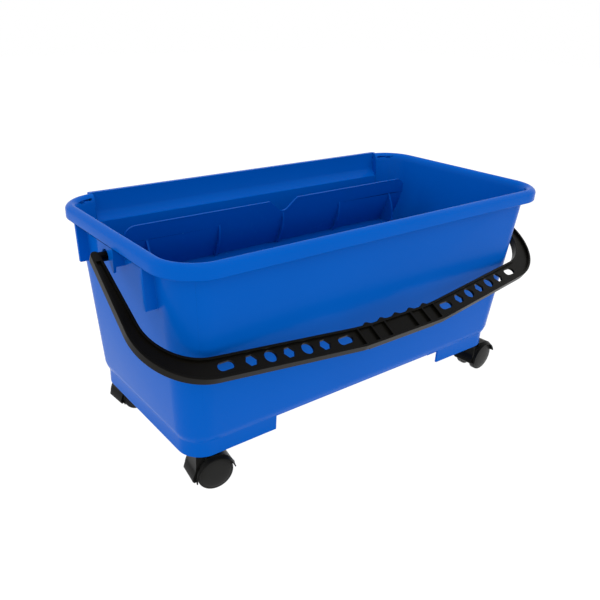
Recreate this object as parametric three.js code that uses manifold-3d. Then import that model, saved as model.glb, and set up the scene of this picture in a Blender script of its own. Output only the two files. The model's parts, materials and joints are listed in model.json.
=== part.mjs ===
// Window cleaning bucket on four twin-wheel castors, with a lift-out sieve and a swinging carry handle.
// Millimetres. X runs along the long side, Y from front to rear, Z is up and the wheels stand on z = 0.
// All heights of the tub are counted from the underside of its feet, which is FOOT_Z above the floor.
import * as THREE from 'three';
import { mergeVertices } from 'three/addons/utils/BufferGeometryUtils.js';
import Module from 'manifold-3d';

const wasm = await Module();
wasm.setup();

// Clearances and the overlap used to join shapes of one moulding
const RUN = 0.3;
const JOIN = 1;
const FAR = 1000;

// Castor, drawn with its swivel axis at the origin, the floor at z = 0 and the wheels trailing along +X
const WHEEL_RADIUS = 20;
const TRAIL = 15;
const AXLE_RADIUS = 2.6;
const AXLE_END_GAP = 0.4;
const KEEL_HALF = 5.9;
const WHEEL_SIDE_GAP = 0.7;
const WHEEL_START = KEEL_HALF + WHEEL_SIDE_GAP;
const WHEEL_HUB_RADIUS = 6.4;
const WHEEL_DISH = 1.8;
const WHEEL_CROWN = 9;
const HUB_BORE_DEPTH = 6.6;
// Pairs of inset from the wheel's radius and depth from its inner side
const WHEEL_TREAD = [[3.4, 0], [0.8, 0], [0, 0.8], [0, 5.8], [0.8, 6.9], [2.6, 7.4], [9, 8.6]];
const HOOD_GAP = 0.6;
const HOOD_THICK = 1.5;
const HOOD_INNER = WHEEL_RADIUS + HOOD_GAP;
const HOOD_OUTER = HOOD_INNER + HOOD_THICK;
const HOOD_CROWN = 1.1;
const HOOD_TOP = WHEEL_RADIUS + HOOD_OUTER + HOOD_CROWN;
const HOOD_HALF = 13.4;
// The hood's lip slopes down over the wheels' faces, so its arc is sunk below the axle
const LIP_REACH = 4.2;
const LIP_HALF = HOOD_HALF + LIP_REACH;
const LIP_SINK = 3.3;
const LIP_FLARE = 0.6;
const LIP_INNER = HOOD_INNER + LIP_FLARE;
const LIP_OUTER = LIP_INNER + HOOD_THICK;
// How far the nose stands out before the mudguard's arc, at shares of the hood's height
const NOSE_PROUD = [1.4, 3.4, 2.6, 1.2, -0.4, -1.4, -2.1];
const NOSE_HEIGHT_SHARES = [0.336, 0.389, 0.486, 0.567, 0.648, 0.787, 1];
const SHOULDER_LOW = 24;
const SHOULDER_TOP_HALF = 9.6;
const SHOULDER_END = 3;
const HEEL_WALL = 2.8;
const LIP_ANGLE = 11;
const NOSE_END_ANGLE = 193;
const ARC_STEPS = 14;
const STEM_RADIUS = 3.9;
const STEM_LOW = 25;
const STEM_HEIGHT_OVER_FOOT = 14.6;
const STEM_TIP = 1;
const HOOD_BORE = STEM_RADIUS + RUN;
const SLEEVE_WALL = 1.1;
const SLEEVE_BORE = STEM_RADIUS + RUN;
const SLEEVE_RADIUS = SLEEVE_BORE + SLEEVE_WALL;
const SLEEVE_RISE = [1, 12.6];
const SEGMENTS = 28;
const PIN_SEGMENTS = 16;

// Tub shell. The feet clear the hoods, and the rim's half sizes drive every place on the tub
const HOOD_TO_FOOT = 0.8;
const FOOT_Z = HOOD_TOP + HOOD_TO_FOOT;
const TUB_HEIGHT = 218.4;
const RIM_HALF = [265, 134.6];
const RIM_RADIUS = 46;
const WALL = 2.8;
const FLOOR_LOW = 17.6;
const FLOOR_THICK = 3;
const FLOOR_TOP = FLOOR_LOW + FLOOR_THICK;
// The wall hangs from the rim and narrows towards the feet
const RIM_WELD_DROP = 3.2;
const RIM_OVERHANG = [10.852, 12.627];
const WELD_RADIUS = 34.885;
const TAPER_SHARES = [0.0756, 0.0686];
const RADIUS_GROWTH_SHARE = 0.032;
const BODY_BASE = 18.8;
const BODY_RISE = TUB_HEIGHT - RIM_WELD_DROP - BODY_BASE;
const BODY_HALF = RIM_HALF.map((size, k) => size - RIM_OVERHANG[k] - TAPER_SHARES[k] * BODY_RISE);
const BODY_RADIUS = WELD_RADIUS - RADIUS_GROWTH_SHARE * BODY_RISE;
const SKIRT_STEP = 3.8;
const SKIRT_HALF = BODY_HALF.map((size) => size - SKIRT_STEP);
const SKIRT_RADIUS = 26;
const BOTTOM_ROUND = [[17, 0], [19, 0.9], [22, 2.3], [25, 3.4], [28.4, 4.5]];
const CORNER_STEPS = 7;
const CUTOUT_HALF = 130;
const CUTOUT_HEIGHT = 17;

// Rolled rim: pairs of inset from the outer face and drop from the crown
const RIM_OUTER = [[0.4, 14], [0, 13.4], [0, 5.2], [0.8, 3.2], [2.8, 1.4], [5.2, 0.3], [6.1, 0]];
const RIM_INNER = [[7.1, 0], [9.4, 0.9], [11.4, 2.7], [12.8, 5.4], [13.7, 9.4]];
const RIM_HOLLOW = [[2.6, 16], [2.6, 6.2], [4.6, 3.9]];

// Raised back panel and the recess before it: pairs of inset from the rim's rear face and drop
const PANEL_INSET = 40.7;
const PANEL_OUTLINE = [[22.6, 40.4], [15.6, 40.4], [3.2, 27.4], [3.2, 14], [-0.7, 14], [-0.7, 1.5],
  [0.8, -0.5], [4.4, -0.8], [22.6, -0.8]];
const RECESS_INSET = 44;
const RECESS_OUTLINE = [[74.6, 32], [17.6, 32], [6, 22.4], [6, -11.6], [74.6, -11.6]];

// Handle bearings and stiffening webs on the short walls: pairs of inset from the rim's face and drop
const PIVOT_DROP = 26.4;
const BEARING_RADIUS = 8;
const BEARING_INSET = 7;
const BEARING_BORE = 5.2;
const BEARING_WALL_LEFT = 1.3;
const WEB_Y_INSET = 59.9;
const WEB_THICK = 4;
const WEB_OUTLINE = [[15, 56.4], [2.6, 56.4], [0.7, 12.4], [2.2, 7.4], [15, 7.4]];
const GUARD_Y = 16.3;
const GUARD_THICK = 2.6;
const GUARD_OUTLINE = [[15, 32.9], [2, 32.9], [0.6, 12.4], [2.2, 7.4], [15, 7.4]];
const APRON_INSETS = [3.4, 0.5];
const APRON_DROP = 10.4;
const APRON_HALF = 17.6;
// Pairs of y and height over the pivot
const APRON_LEG = [[17.6, -10], [16, -12.6], [14.2, -11], [7, -1]];
const APRON_ARCH = 7;

// Castor sockets under the feet
const CASTOR_INSET = [16, 16.2];
const SOCKET_RADIUS = 9;
const SOCKET_BORE = SLEEVE_RADIUS + RUN;
const SOCKET_DEPTH = 16;
const SOCKET_RISE = 0.2;
const STAY_THICK = 2.4;
const STAY_RISE = 3;

// Sieve insert: curved upright plate, slotted shelf and legs. Outlines are pairs of inset from the rim's rear
// face and drop from its crown
const PLATE_BACK = [[72.6, 22.4], [71.7, 33.4], [70.6, 42.4], [69.1, 51.4], [66.6, 60.9], [63.6, 69.4],
  [59.6, 78.9], [58.2, 82.4]];
const PLATE_THICK = 3;
const PLATE_END_INSET = 47.2;
const PLATE_NARROWING = 5.8;
const PLATE_CORNER = 15;
const PLATE_DROP = 22.4;
const SHELF_DROP = 81.4;
const SHELF_THICK = 3;
const NOTCH_HALF = 22;
const NOTCH_NECK = 9;
const NOTCH_DEPTH = 14.8;
const NOTCH_BEND_SHARES = [0.45, 0.3];
const RIB_SPACING = 95;
const RIB_THICK = 2.6;
const RIB_FRONT = [[74.4, 39.9], [75.7, 46.4], [75, 58.4], [72.2, 68.4], [68.1, 77.4], [65.6, 82.4],
  [60.6, 82.4], [60.6, 73.4], [66.6, 58.4], [70.6, 39.9]];
const BRACKET_INSET = 27.8;
const BRACKET_FRONT = [[74, 41.4], [79.6, 52.4], [83.2, 62.4], [84.6, 82.4], [60.6, 82.4], [60.6, 73.4],
  [66.6, 58.4], [70.6, 41.4]];
const SHELF_END_INSET = 7.8;
const SHELF_FRONT_INSET = 28.6;
const SHELF_REAR_INSET = 59.6;
const SHELF_RADIUS = 16;
const SHELF_LIP = 5;
const SHELF_LIP_THICK = 2.6;
const SLOT_BRIDGES = [10, 8];
const SLOT_COUNTS = [9, 11];
const SLOT_MARGIN_X = 34;
const SLOT_MARGINS_Y = [14, 23];
const LEG_MARGIN_X = 24;
const LEG_MARGINS_Y = [18, 19];
const LEG_TOP = 9;
const LEG_FOOT = 6.5;

// Carry handle, drawn in its own plane: x along the pivot axis and reach away from it. Each path is a
// row of pairs: distance from the middle and reach, with ends given over the rim's half sizes
const HANDLE_ANGLE = 30.1;
const HANDLE_THICK = 9;
const HANDLE_WEB = 3;
const HANDLE_BORDER = 2.6;
const ARM_GAP = 5.6;
const ARM_WIDTH = 9.2;
const CORNER_GAP = 24.2;
const MIDDLE_X = [60, 40];
const OUTER_REACHES = [21.2, 47.4, 47.6];
const INNER_REACHES = [-0.2, 23, 24.2];
const OUTER_BEND = 69;
const INNER_BEND = 54;
const SOFT_BEND = 30;
const BEND_STEPS = 9;
const POCKET_START = 8;
const GRIP_HALF = 58;
const GRIP_RIBS = [39, 20];
const GRIP_RIB_THICK = 2.2;
const GRIP_PAD_HALF = 50;
const GRIP_PAD_DEPTH = 3.6;
const GRIP_PAD_INSET = 1;
const BUMP_PITCH = 22;
const BUMP_PLACES = [-2, -1, 0, 1, 2];
const BUMP_HALF = 7;
const BUMP_RISE = 2.9;
const BUMP_STEPS = 6;
// Holes between the grip and the arm, as shares of the way, some round, some hexagonal, two stretched
const HOLES = [
  { share: 0.092, stretch: 9.5, radius: 4.6, sides: PIN_SEGMENTS },
  { share: 0.2155, stretch: 0, radius: 6.6, sides: 6 },
  { share: 0.3165, stretch: 0, radius: 6.6, sides: PIN_SEGMENTS },
  { share: 0.4175, stretch: 0, radius: 6.6, sides: 6 },
  { share: 0.5185, stretch: 0, radius: 6.6, sides: PIN_SEGMENTS },
  { share: 0.6185, stretch: 0, radius: 6.6, sides: 6 },
  { share: 0.7465, stretch: 8.5, radius: 4.6, sides: PIN_SEGMENTS },
];
const HOLE_DRIFT = 1.4;
const PEG_RADIUS = BEARING_BORE - RUN;
const PEG_END_GAP = 0.6;

// Castor positions as signs of x and y, with the swivel angle each one rests at
const CASTORS = [
  { name: 'front_left', side: [-1, -1], swivel: -9.4 },
  { name: 'front_right', side: [1, -1], swivel: 3 },
  { name: 'rear_left', side: [-1, 1], swivel: 4 },
  { name: 'rear_right', side: [1, 1], swivel: 2 },
];

const blue = new THREE.MeshStandardMaterial({ color: 0x0a5fb4, roughness: 0.28, metalness: 0 });
const black = new THREE.MeshStandardMaterial({ color: 0x1b1b1c, roughness: 0.45, metalness: 0 });
const steel = new THREE.MeshStandardMaterial({ color: 0xb4b6b8, roughness: 0.3, metalness: 1 });

const rad = (degrees) => THREE.MathUtils.degToRad(degrees);

function solidOf(geometry) {
  const bare = geometry.clone();
  bare.deleteAttribute('normal');
  bare.deleteAttribute('uv');
  const merged = mergeVertices(bare);
  const vertProperties = new Float32Array(merged.attributes.position.array);
  const triVerts = new Uint32Array(merged.index.array);
  return new wasm.Manifold(new wasm.Mesh({ numProp: 3, vertProperties, triVerts }));
}

function geometryOf(solid) {
  const mesh = solid.getMesh();
  const geometry = new THREE.BufferGeometry();
  geometry.setAttribute('position', new THREE.BufferAttribute(new Float32Array(mesh.vertProperties), 3));
  geometry.setIndex(new THREE.BufferAttribute(new Uint32Array(mesh.triVerts), 1));
  const flat = geometry.toNonIndexed();
  flat.computeVertexNormals();
  return flat;
}

const join = (solids) => solids.reduce((sum, next) => sum.add(next));
const cut = (body, solids) => solids.reduce((rest, next) => rest.subtract(next), body);

// Rounded rectangle at one height, counter-clockwise seen from above
function ring(half, radius, z) {
  const points = [];
  const corners = [[1, 1, 0], [-1, 1, 90], [-1, -1, 180], [1, -1, 270]];
  for (const [sx, sy, start] of corners) {
    for (let step = 0; step <= CORNER_STEPS; step += 1) {
      const angle = rad(start + (90 * step) / CORNER_STEPS);
      const x = sx * (half[0] - radius) + radius * Math.cos(angle);
      const y = sy * (half[1] - radius) + radius * Math.sin(angle);
      points.push(new THREE.Vector3(x, y, z));
    }
  }
  return points;
}

// Closed solid through a stack of rings with equal point counts
function loft(rings) {
  const count = rings[0].length;
  const positions = [];
  const triangle = (a, b, c) => positions.push(...a.toArray(), ...b.toArray(), ...c.toArray());
  for (let level = 0; level + 1 < rings.length; level += 1) {
    for (let k = 0; k < count; k += 1) {
      const next = (k + 1) % count;
      triangle(rings[level][k], rings[level][next], rings[level + 1][next]);
      triangle(rings[level][k], rings[level + 1][next], rings[level + 1][k]);
    }
  }
  const top = rings[rings.length - 1];
  for (let k = 1; k + 1 < count; k += 1) {
    triangle(rings[0][0], rings[0][k + 1], rings[0][k]);
    triangle(top[0], top[k], top[k + 1]);
  }
  const geometry = new THREE.BufferGeometry();
  geometry.setAttribute('position', new THREE.Float32BufferAttribute(positions, 3));
  return solidOf(geometry);
}

function box(x, y, z) {
  const geometry = new THREE.BoxGeometry(x[1] - x[0], y[1] - y[0], z[1] - z[0]);
  geometry.translate((x[0] + x[1]) / 2, (y[0] + y[1]) / 2, (z[0] + z[1]) / 2);
  return solidOf(geometry);
}

function cylinder(radius, from, to, segments, tip) {
  const points = [new THREE.Vector2(0, from), new THREE.Vector2(radius, from)];
  points.push(new THREE.Vector2(radius, to - tip));
  if (tip > 0) points.push(new THREE.Vector2(radius - tip, to));
  points.push(new THREE.Vector2(0, to));
  const geometry = new THREE.LatheGeometry(points, segments);
  geometry.rotateX(rad(90));
  return geometry;
}

// A cylinder standing along Z at a place
function post(radius, z, x, y, segments, tip = 0) {
  const geometry = cylinder(radius, z[0], z[1], segments, tip);
  geometry.translate(x, y, 0);
  return solidOf(geometry);
}

// A cylinder lying along X
function bar(radius, x, y, z, segments, tip = 0) {
  const geometry = cylinder(radius, x[0], x[1], segments, tip);
  geometry.rotateY(rad(90));
  geometry.translate(0, y, z);
  return solidOf(geometry);
}

// Flat outline given as [u, v] pairs, thickened along Z from low to high
function slab(outline, low, high) {
  const shape = new THREE.Shape(outline.map(([u, v]) => new THREE.Vector2(u, v)));
  const geometry = new THREE.ExtrudeGeometry(shape, { depth: high - low, bevelEnabled: false });
  geometry.translate(0, 0, low);
  return geometry;
}

// Outline in the XZ plane, thickened along Y
function slabXZ(outline, low, high) {
  const geometry = slab(outline, -high, -low);
  geometry.rotateX(rad(90));
  return solidOf(geometry);
}

// Outline in the YZ plane, thickened along X
function slabYZ(outline, low, high) {
  const geometry = slab(outline, low, high);
  geometry.applyMatrix4(new THREE.Matrix4().makeBasis(
    new THREE.Vector3(0, 1, 0),
    new THREE.Vector3(0, 0, 1),
    new THREE.Vector3(1, 0, 0),
  ));
  return solidOf(geometry);
}

const mirrorX = (solid) => solid.mirror([1, 0, 0]);
const mirrorY = (solid) => solid.mirror([0, 1, 0]);

// Straight path with its inner corners rounded, as [u, v] pairs
function rounded(path, radii) {
  const points = [path[0]];
  for (let k = 1; k + 1 < path.length; k += 1) {
    const corner = new THREE.Vector2(...path[k]);
    const before = new THREE.Vector2(...path[k - 1]).sub(corner).normalize();
    const after = new THREE.Vector2(...path[k + 1]).sub(corner).normalize();
    const half = Math.acos(THREE.MathUtils.clamp(before.dot(after), -1, 1)) / 2;
    const reach = radii[k - 1] / Math.tan(half);
    const middle = before.clone().add(after).normalize();
    const centre = corner.clone().addScaledVector(middle, radii[k - 1] / Math.sin(half));
    const start = corner.clone().addScaledVector(before, reach).sub(centre);
    const end = corner.clone().addScaledVector(after, reach).sub(centre);
    const turn = Math.atan2(start.cross(end), start.dot(end));
    for (let step = 0; step <= BEND_STEPS; step += 1) {
      const arm = start.clone().rotateAround(new THREE.Vector2(0, 0), (turn * step) / BEND_STEPS);
      points.push([centre.x + arm.x, centre.y + arm.y]);
    }
  }
  points.push(path[path.length - 1]);
  return points;
}

// Places that follow from the sizes
const fromFoot = (height) => FOOT_Z + height;
const rimZ = (drop) => FOOT_Z + TUB_HEIGHT - drop;
const fromRear = (outline) => outline.map(([inset, drop]) => [RIM_HALF[1] - inset, rimZ(drop)]);
const pivotZ = rimZ(PIVOT_DROP);
const castorPlace = SKIRT_HALF.map((size, k) => size - CASTOR_INSET[k]);
const wallHalfAtPivot = BODY_HALF[0] + TAPER_SHARES[0] * (TUB_HEIGHT - PIVOT_DROP - BODY_BASE);
const bearingFace = RIM_HALF[0] - BEARING_INSET;
const bearingEnd = wallHalfAtPivot - WALL + BEARING_WALL_LEFT;
const plateHalf = RIM_HALF[0] - PLATE_END_INSET;
const shelfHalf = plateHalf - SHELF_END_INSET;
const shelfY = [SHELF_FRONT_INSET - RIM_HALF[1], RIM_HALF[1] - SHELF_REAR_INSET];
const shelfTop = rimZ(SHELF_DROP);
const shelfLow = shelfTop - SHELF_THICK;

// Tub shell

function wallRing(height, inset) {
  const rise = height - BODY_BASE;
  const half = BODY_HALF.map((size, k) => size + TAPER_SHARES[k] * rise - inset);
  return ring(half, BODY_RADIUS + RADIUS_GROWTH_SHARE * rise - inset, fromFoot(height));
}

function rimRing([inset, drop]) {
  return ring(RIM_HALF.map((size) => size - inset), RIM_RADIUS - inset, rimZ(drop));
}

function skirtRing(height, grow) {
  return ring(SKIRT_HALF.map((size) => size + grow), SKIRT_RADIUS + grow, fromFoot(height));
}

function tubShell() {
  const weldHeight = TUB_HEIGHT - RIM_WELD_DROP;
  const lower = BOTTOM_ROUND.map(([height, grow]) => skirtRing(height, grow));
  const body = loft([skirtRing(0, 0), ...lower, wallRing(weldHeight, 0)]);
  const hollow = loft(RIM_HOLLOW.map(rimRing));
  const rim = loft(RIM_OUTER.map(rimRing)).subtract(hollow);
  const panelHalf = RIM_HALF[0] - PANEL_INSET;
  const panel = slabYZ(fromRear(PANEL_OUTLINE), -panelHalf, panelHalf);
  return join([body, rim, panel]);
}

function tubCavity() {
  const low = BOTTOM_ROUND[BOTTOM_ROUND.length - 1][0];
  const floorRing = skirtRing(FLOOR_TOP, -WALL);
  const inner = [...RIM_INNER].reverse().map(rimRing);
  const above = rimRing([RIM_INNER[0][0], -JOIN]);
  return loft([floorRing, wallRing(low, WALL), ...inner, above]);
}

// Bearing, guards and webs of the right-hand short wall
function endFittings() {
  const fromEnd = (outline) => outline.map(([inset, drop]) => [RIM_HALF[0] - inset, rimZ(drop)]);
  const plate = (outline, y, thick) => slabXZ(fromEnd(outline), y - thick / 2, y + thick / 2);
  const bearing = bar(BEARING_RADIUS, [bearingEnd - JOIN, bearingFace], 0, pivotZ, SEGMENTS);
  const webY = RIM_HALF[1] - WEB_Y_INSET;
  const webs = [-webY, webY].map((y) => plate(WEB_OUTLINE, y, WEB_THICK));
  const guards = [-GUARD_Y, GUARD_Y].map((y) => plate(GUARD_OUTLINE, y, GUARD_THICK));
  const leg = [[APRON_HALF, rimZ(APRON_DROP)], ...APRON_LEG.map(([y, rise]) => [y, pivotZ + rise])];
  const front = [...leg].reverse().map(([y, z]) => [-y, z]);
  const arch = bar(APRON_ARCH, [bearingFace, RIM_HALF[0] + JOIN], 0, pivotZ, SEGMENTS);
  const apronX = APRON_INSETS.map((inset) => RIM_HALF[0] - inset);
  const apron = slabYZ([...leg, ...front].reverse(), ...apronX).subtract(arch);
  return join([bearing, apron, ...webs, ...guards]);
}

// Socket and its two stays under one foot corner, at positive x and y
function socket() {
  const [x, y] = castorPlace;
  const top = fromFoot(FLOOR_LOW) + JOIN;
  const tube = post(SOCKET_RADIUS, [FOOT_Z + SOCKET_RISE, top], x, y, SEGMENTS);
  const half = STAY_THICK / 2;
  const stayZ = [FOOT_Z + STAY_RISE, top];
  const along = box([CUTOUT_HALF, x], [y - half, y + half], stayZ);
  const across = box([x - half, x + half], [0, y], stayZ);
  return join([tube, along, across]);
}

function tub() {
  const shell = tubShell();
  const skirtInside = loft([skirtRing(-JOIN, -WALL), skirtRing(FLOOR_LOW, -WALL)]);
  const openZ = [FOOT_Z - JOIN, fromFoot(CUTOUT_HEIGHT)];
  const openings = box([-CUTOUT_HALF, CUTOUT_HALF], [-FAR, FAR], openZ);
  const sockets = [socket()];
  sockets.push(mirrorX(sockets[0]));
  sockets.push(mirrorY(sockets[0]), mirrorY(sockets[1]));
  const right = endFittings();
  const filled = join([shell.subtract(skirtInside), ...sockets, right, mirrorX(right)]);
  const recessHalf = RIM_HALF[0] - RECESS_INSET;
  const recess = slabYZ(fromRear(RECESS_OUTLINE), -recessHalf, recessHalf);
  const bearingBore = bar(BEARING_BORE, [bearingEnd, RIM_HALF[0]], 0, pivotZ, SEGMENTS);
  const boreZ = [FOOT_Z - JOIN, FOOT_Z + SOCKET_DEPTH];
  const bores = [-1, 1].flatMap((sx) => [-1, 1].map((sy) => (
    post(SOCKET_BORE, boreZ, sx * castorPlace[0], sy * castorPlace[1], SEGMENTS))));
  return cut(filled, [tubCavity(), recess, openings, bearingBore, mirrorX(bearingBore), ...bores]);
}

// Sieve insert
function plateFace() {
  const top = rimZ(PLATE_DROP);
  const lowHalf = plateHalf - PLATE_NARROWING;
  const shape = new THREE.Shape();
  shape.moveTo(-lowHalf, shelfLow);
  shape.lineTo(lowHalf, shelfLow);
  shape.lineTo(plateHalf, top - PLATE_CORNER);
  shape.quadraticCurveTo(plateHalf, top, plateHalf - PLATE_CORNER, top);
  shape.lineTo(NOTCH_HALF, top);
  const [early, late] = NOTCH_BEND_SHARES;
  const bottom = top - NOTCH_DEPTH;
  const firstX = NOTCH_HALF - early * (NOTCH_HALF - NOTCH_NECK);
  shape.bezierCurveTo(firstX, top, NOTCH_NECK + late * NOTCH_NECK, bottom, 0, bottom);
  shape.bezierCurveTo(-NOTCH_NECK - late * NOTCH_NECK, bottom, -firstX, top, -NOTCH_HALF, top);
  shape.lineTo(-plateHalf + PLATE_CORNER, top);
  shape.quadraticCurveTo(-plateHalf, top, -plateHalf, top - PLATE_CORNER);
  const outline = shape.getPoints(BEND_STEPS).map((point) => [point.x, point.y]);
  return slabXZ(outline.slice(0, -1), 0, shelfY[1] + PLATE_THICK);
}

function sieve() {
  const back = fromRear(PLATE_BACK);
  const face = back.map(([y, z]) => [y - PLATE_THICK, z]).reverse();
  const curved = slabYZ([...back, ...face], -plateHalf, plateHalf).intersect(plateFace());
  const ribAt = (outline, x) => slabYZ(fromRear(outline), x - RIB_THICK / 2, x + RIB_THICK / 2);
  const ribs = [-RIB_SPACING, 0, RIB_SPACING].map((x) => ribAt(RIB_FRONT, x));
  const bracketX = plateHalf - BRACKET_INSET;
  const brackets = [-bracketX, bracketX].map((x) => ribAt(BRACKET_FRONT, x));
  const [front, rear] = shelfY;
  const half = [shelfHalf, (rear - front) / 2];
  const inset = (by, z) => ring(half.map((size) => size - by), SHELF_RADIUS - by, z)
    .map((point) => point.setY(point.y + (front + rear) / 2));
  const tray = loft([inset(0, shelfTop - SHELF_LIP), inset(0, shelfTop)]);
  const under = loft([inset(SHELF_LIP_THICK, shelfTop - SHELF_LIP - JOIN), inset(SHELF_LIP_THICK, shelfLow)]);
  const slotX = [SLOT_MARGIN_X - shelfHalf, shelfHalf - SLOT_MARGIN_X];
  const slotY = [front + SLOT_MARGINS_Y[0], rear - SLOT_MARGINS_Y[1]];
  const slotZ = [shelfLow - JOIN, shelfTop + JOIN];
  const pitches = [slotX, slotY].map(([first, last], k) => (last - first) / (SLOT_COUNTS[k] - 1));
  const slotHalf = pitches.map((pitch, k) => (pitch - SLOT_BRIDGES[k]) / 2);
  const slots = [];
  for (let i = 0; i < SLOT_COUNTS[0]; i += 1) {
    for (let j = 0; j < SLOT_COUNTS[1]; j += 1) {
      const x = THREE.MathUtils.lerp(...slotX, i / (SLOT_COUNTS[0] - 1));
      const y = THREE.MathUtils.lerp(...slotY, j / (SLOT_COUNTS[1] - 1));
      slots.push(box([x - slotHalf[0], x + slotHalf[0]], [y - slotHalf[1], y + slotHalf[1]], slotZ));
    }
  }
  const floor = fromFoot(FLOOR_TOP) + RUN;
  const legX = shelfHalf - LEG_MARGIN_X;
  const legY = [front + LEG_MARGINS_Y[0], rear - LEG_MARGINS_Y[1]];
  const legs = [-legX, 0, legX].flatMap((x) => legY.map((y) => {
    const square = (size, z) => ring([size, size], size / 2, z)
      .map((point) => new THREE.Vector3(point.x + x, point.y + y, point.z));
    return loft([square(LEG_FOOT, floor), square(LEG_TOP, shelfLow + JOIN)]);
  }));
  const shelf = cut(tray, [under, ...slots]);
  return join([shelf, curved, ...ribs, ...brackets, ...legs]);
}

// Carry handle
function bandPath(armX, cornerX, reaches) {
  const [corner, soft, middle] = reaches.map((reach) => RIM_HALF[1] + reach);
  return [[armX, 0], [cornerX, corner], [MIDDLE_X[0], soft], [MIDDLE_X[1], middle]];
}

const innerArm = RIM_HALF[0] + ARM_GAP;
const innerPath = bandPath(innerArm, innerArm, INNER_REACHES);
const outerPath = bandPath(innerArm + ARM_WIDTH, RIM_HALF[0] + CORNER_GAP, OUTER_REACHES);

function offsetPath(path, by) {
  const lines = [];
  for (let k = 0; k + 1 < path.length; k += 1) {
    const start = new THREE.Vector2(...path[k]);
    const along = new THREE.Vector2(...path[k + 1]).sub(start).normalize();
    const normal = new THREE.Vector2(-along.y, along.x);
    lines.push({ start: start.addScaledVector(normal, by), along });
  }
  const points = [lines[0].start];
  for (let k = 0; k + 1 < lines.length; k += 1) {
    const [one, two] = [lines[k], lines[k + 1]];
    const gap = two.start.clone().sub(one.start);
    const travel = gap.cross(two.along) / one.along.cross(two.along);
    points.push(one.start.clone().addScaledVector(one.along, travel));
  }
  const tail = lines[lines.length - 1];
  const last = new THREE.Vector2(...path[path.length - 1]);
  points.push(tail.start.clone().addScaledVector(tail.along, last.sub(tail.start).dot(tail.along)));
  return points.map((point) => [point.x, point.y]);
}

// Closed outline of the band with round arm ends, drawn in from its edges by inset
function bandOutline(inset) {
  const outer = rounded(offsetPath(outerPath, inset), [OUTER_BEND - inset, SOFT_BEND]);
  const inner = rounded(offsetPath(innerPath, -inset), [INNER_BEND + inset, SOFT_BEND]);
  const [start, end] = [inner[0], outer[0]];
  const radius = (end[0] - start[0]) / 2;
  const cap = [];
  for (let step = 1; step < BEND_STEPS; step += 1) {
    const angle = rad(180 + (180 * step) / BEND_STEPS);
    cap.push([start[0] + radius + radius * Math.cos(angle), start[1] + radius * Math.sin(angle)]);
  }
  const right = [...[...inner].reverse(), ...cap, ...outer];
  return [...right, ...right.map(([u, v]) => [-u, v]).reverse()];
}

function bump(x) {
  const [, base] = innerPath[innerPath.length - 1];
  const points = [[x + BUMP_HALF, base + JOIN], [x - BUMP_HALF, base + JOIN]];
  for (let step = 0; step <= BUMP_STEPS; step += 1) {
    const share = step / BUMP_STEPS;
    const rise = (BUMP_RISE * (1 - Math.cos(2 * Math.PI * share))) / 2;
    points.push([x - BUMP_HALF + 2 * BUMP_HALF * share, base - rise]);
  }
  return solidOf(slab(points, -HANDLE_THICK / 2, HANDLE_THICK / 2));
}

// Reach of a path's straight stretch between its corner and the soft bend
function reachAt(path, u) {
  const [, corner, soft] = path;
  return THREE.MathUtils.mapLinear(u, soft[0], corner[0], soft[1], corner[1]);
}

function webHole({ share, stretch, radius, sides }, sign) {
  const u = THREE.MathUtils.lerp(GRIP_HALF, RIM_HALF[0], share);
  const v = (reachAt(innerPath, u) + reachAt(outerPath, u)) / 2 - HOLE_DRIFT;
  const points = [];
  for (let k = 0; k < sides; k += 1) {
    const angle = (2 * Math.PI * (k + (sides === PIN_SEGMENTS ? 1 / 2 : 0))) / sides;
    const shift = Math.cos(angle) > 0 ? stretch / 2 : -stretch / 2;
    points.push([sign * u + shift + radius * Math.cos(angle), v + radius * Math.sin(angle)]);
  }
  return solidOf(slab(points, -HANDLE_THICK, HANDLE_THICK));
}

function handle() {
  const half = HANDLE_THICK / 2;
  const flat = HANDLE_WEB / 2;
  const band = solidOf(slab(bandOutline(0), -half, half));
  const hollow = [[flat, HANDLE_THICK], [-HANDLE_THICK, -flat]].map(([low, high]) => (
    solidOf(slab(bandOutline(HANDLE_BORDER), low, high))));
  const reach = outerPath[1][1] + FAR;
  const keep = [box([-FAR, FAR], [-FAR, POCKET_START], [-half, half])];
  const ribAt = (x) => box([x - GRIP_RIB_THICK / 2, x + GRIP_RIB_THICK / 2], [0, reach], [-half, half]);
  for (const x of [GRIP_HALF, ...GRIP_RIBS]) keep.push(ribAt(x), ribAt(-x));
  const pockets = hollow.map((side) => cut(side, keep));
  const bumps = BUMP_PLACES.map((place) => bump(place * BUMP_PITCH));
  const [, gripOuter] = outerPath[outerPath.length - 1];
  const [, gripInner] = innerPath[innerPath.length - 1];
  const padY = [gripInner + HANDLE_BORDER, gripOuter - GRIP_PAD_INSET];
  const pad = box([-GRIP_PAD_HALF, GRIP_PAD_HALF], padY, [flat, half + GRIP_PAD_DEPTH]);
  const [padSide, openSide] = pockets;
  const holes = [-1, 1].flatMap((sign) => HOLES.map((hole) => webHole(hole, sign)));
  const peg = bar(PEG_RADIUS, [bearingEnd + PEG_END_GAP, innerArm + JOIN], 0, 0, PIN_SEGMENTS);
  const beam = cut(join([band, pad]), [padSide.subtract(pad), openSide, ...holes]);
  const flatHandle = join([beam, ...bumps, peg, mirrorX(peg)]);
  const geometry = geometryOf(flatHandle);
  geometry.scale(1, -1, -1);
  geometry.rotateX(rad(HANDLE_ANGLE));
  geometry.translate(0, 0, pivotZ);
  return geometry;
}

// Castor pieces
function arc(radius, from, to) {
  const points = [];
  for (let step = 0; step <= ARC_STEPS; step += 1) {
    const angle = rad(from + ((to - from) * step) / ARC_STEPS);
    points.push([TRAIL + radius * Math.cos(angle), WHEEL_RADIUS + radius * Math.sin(angle)]);
  }
  return points;
}

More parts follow.
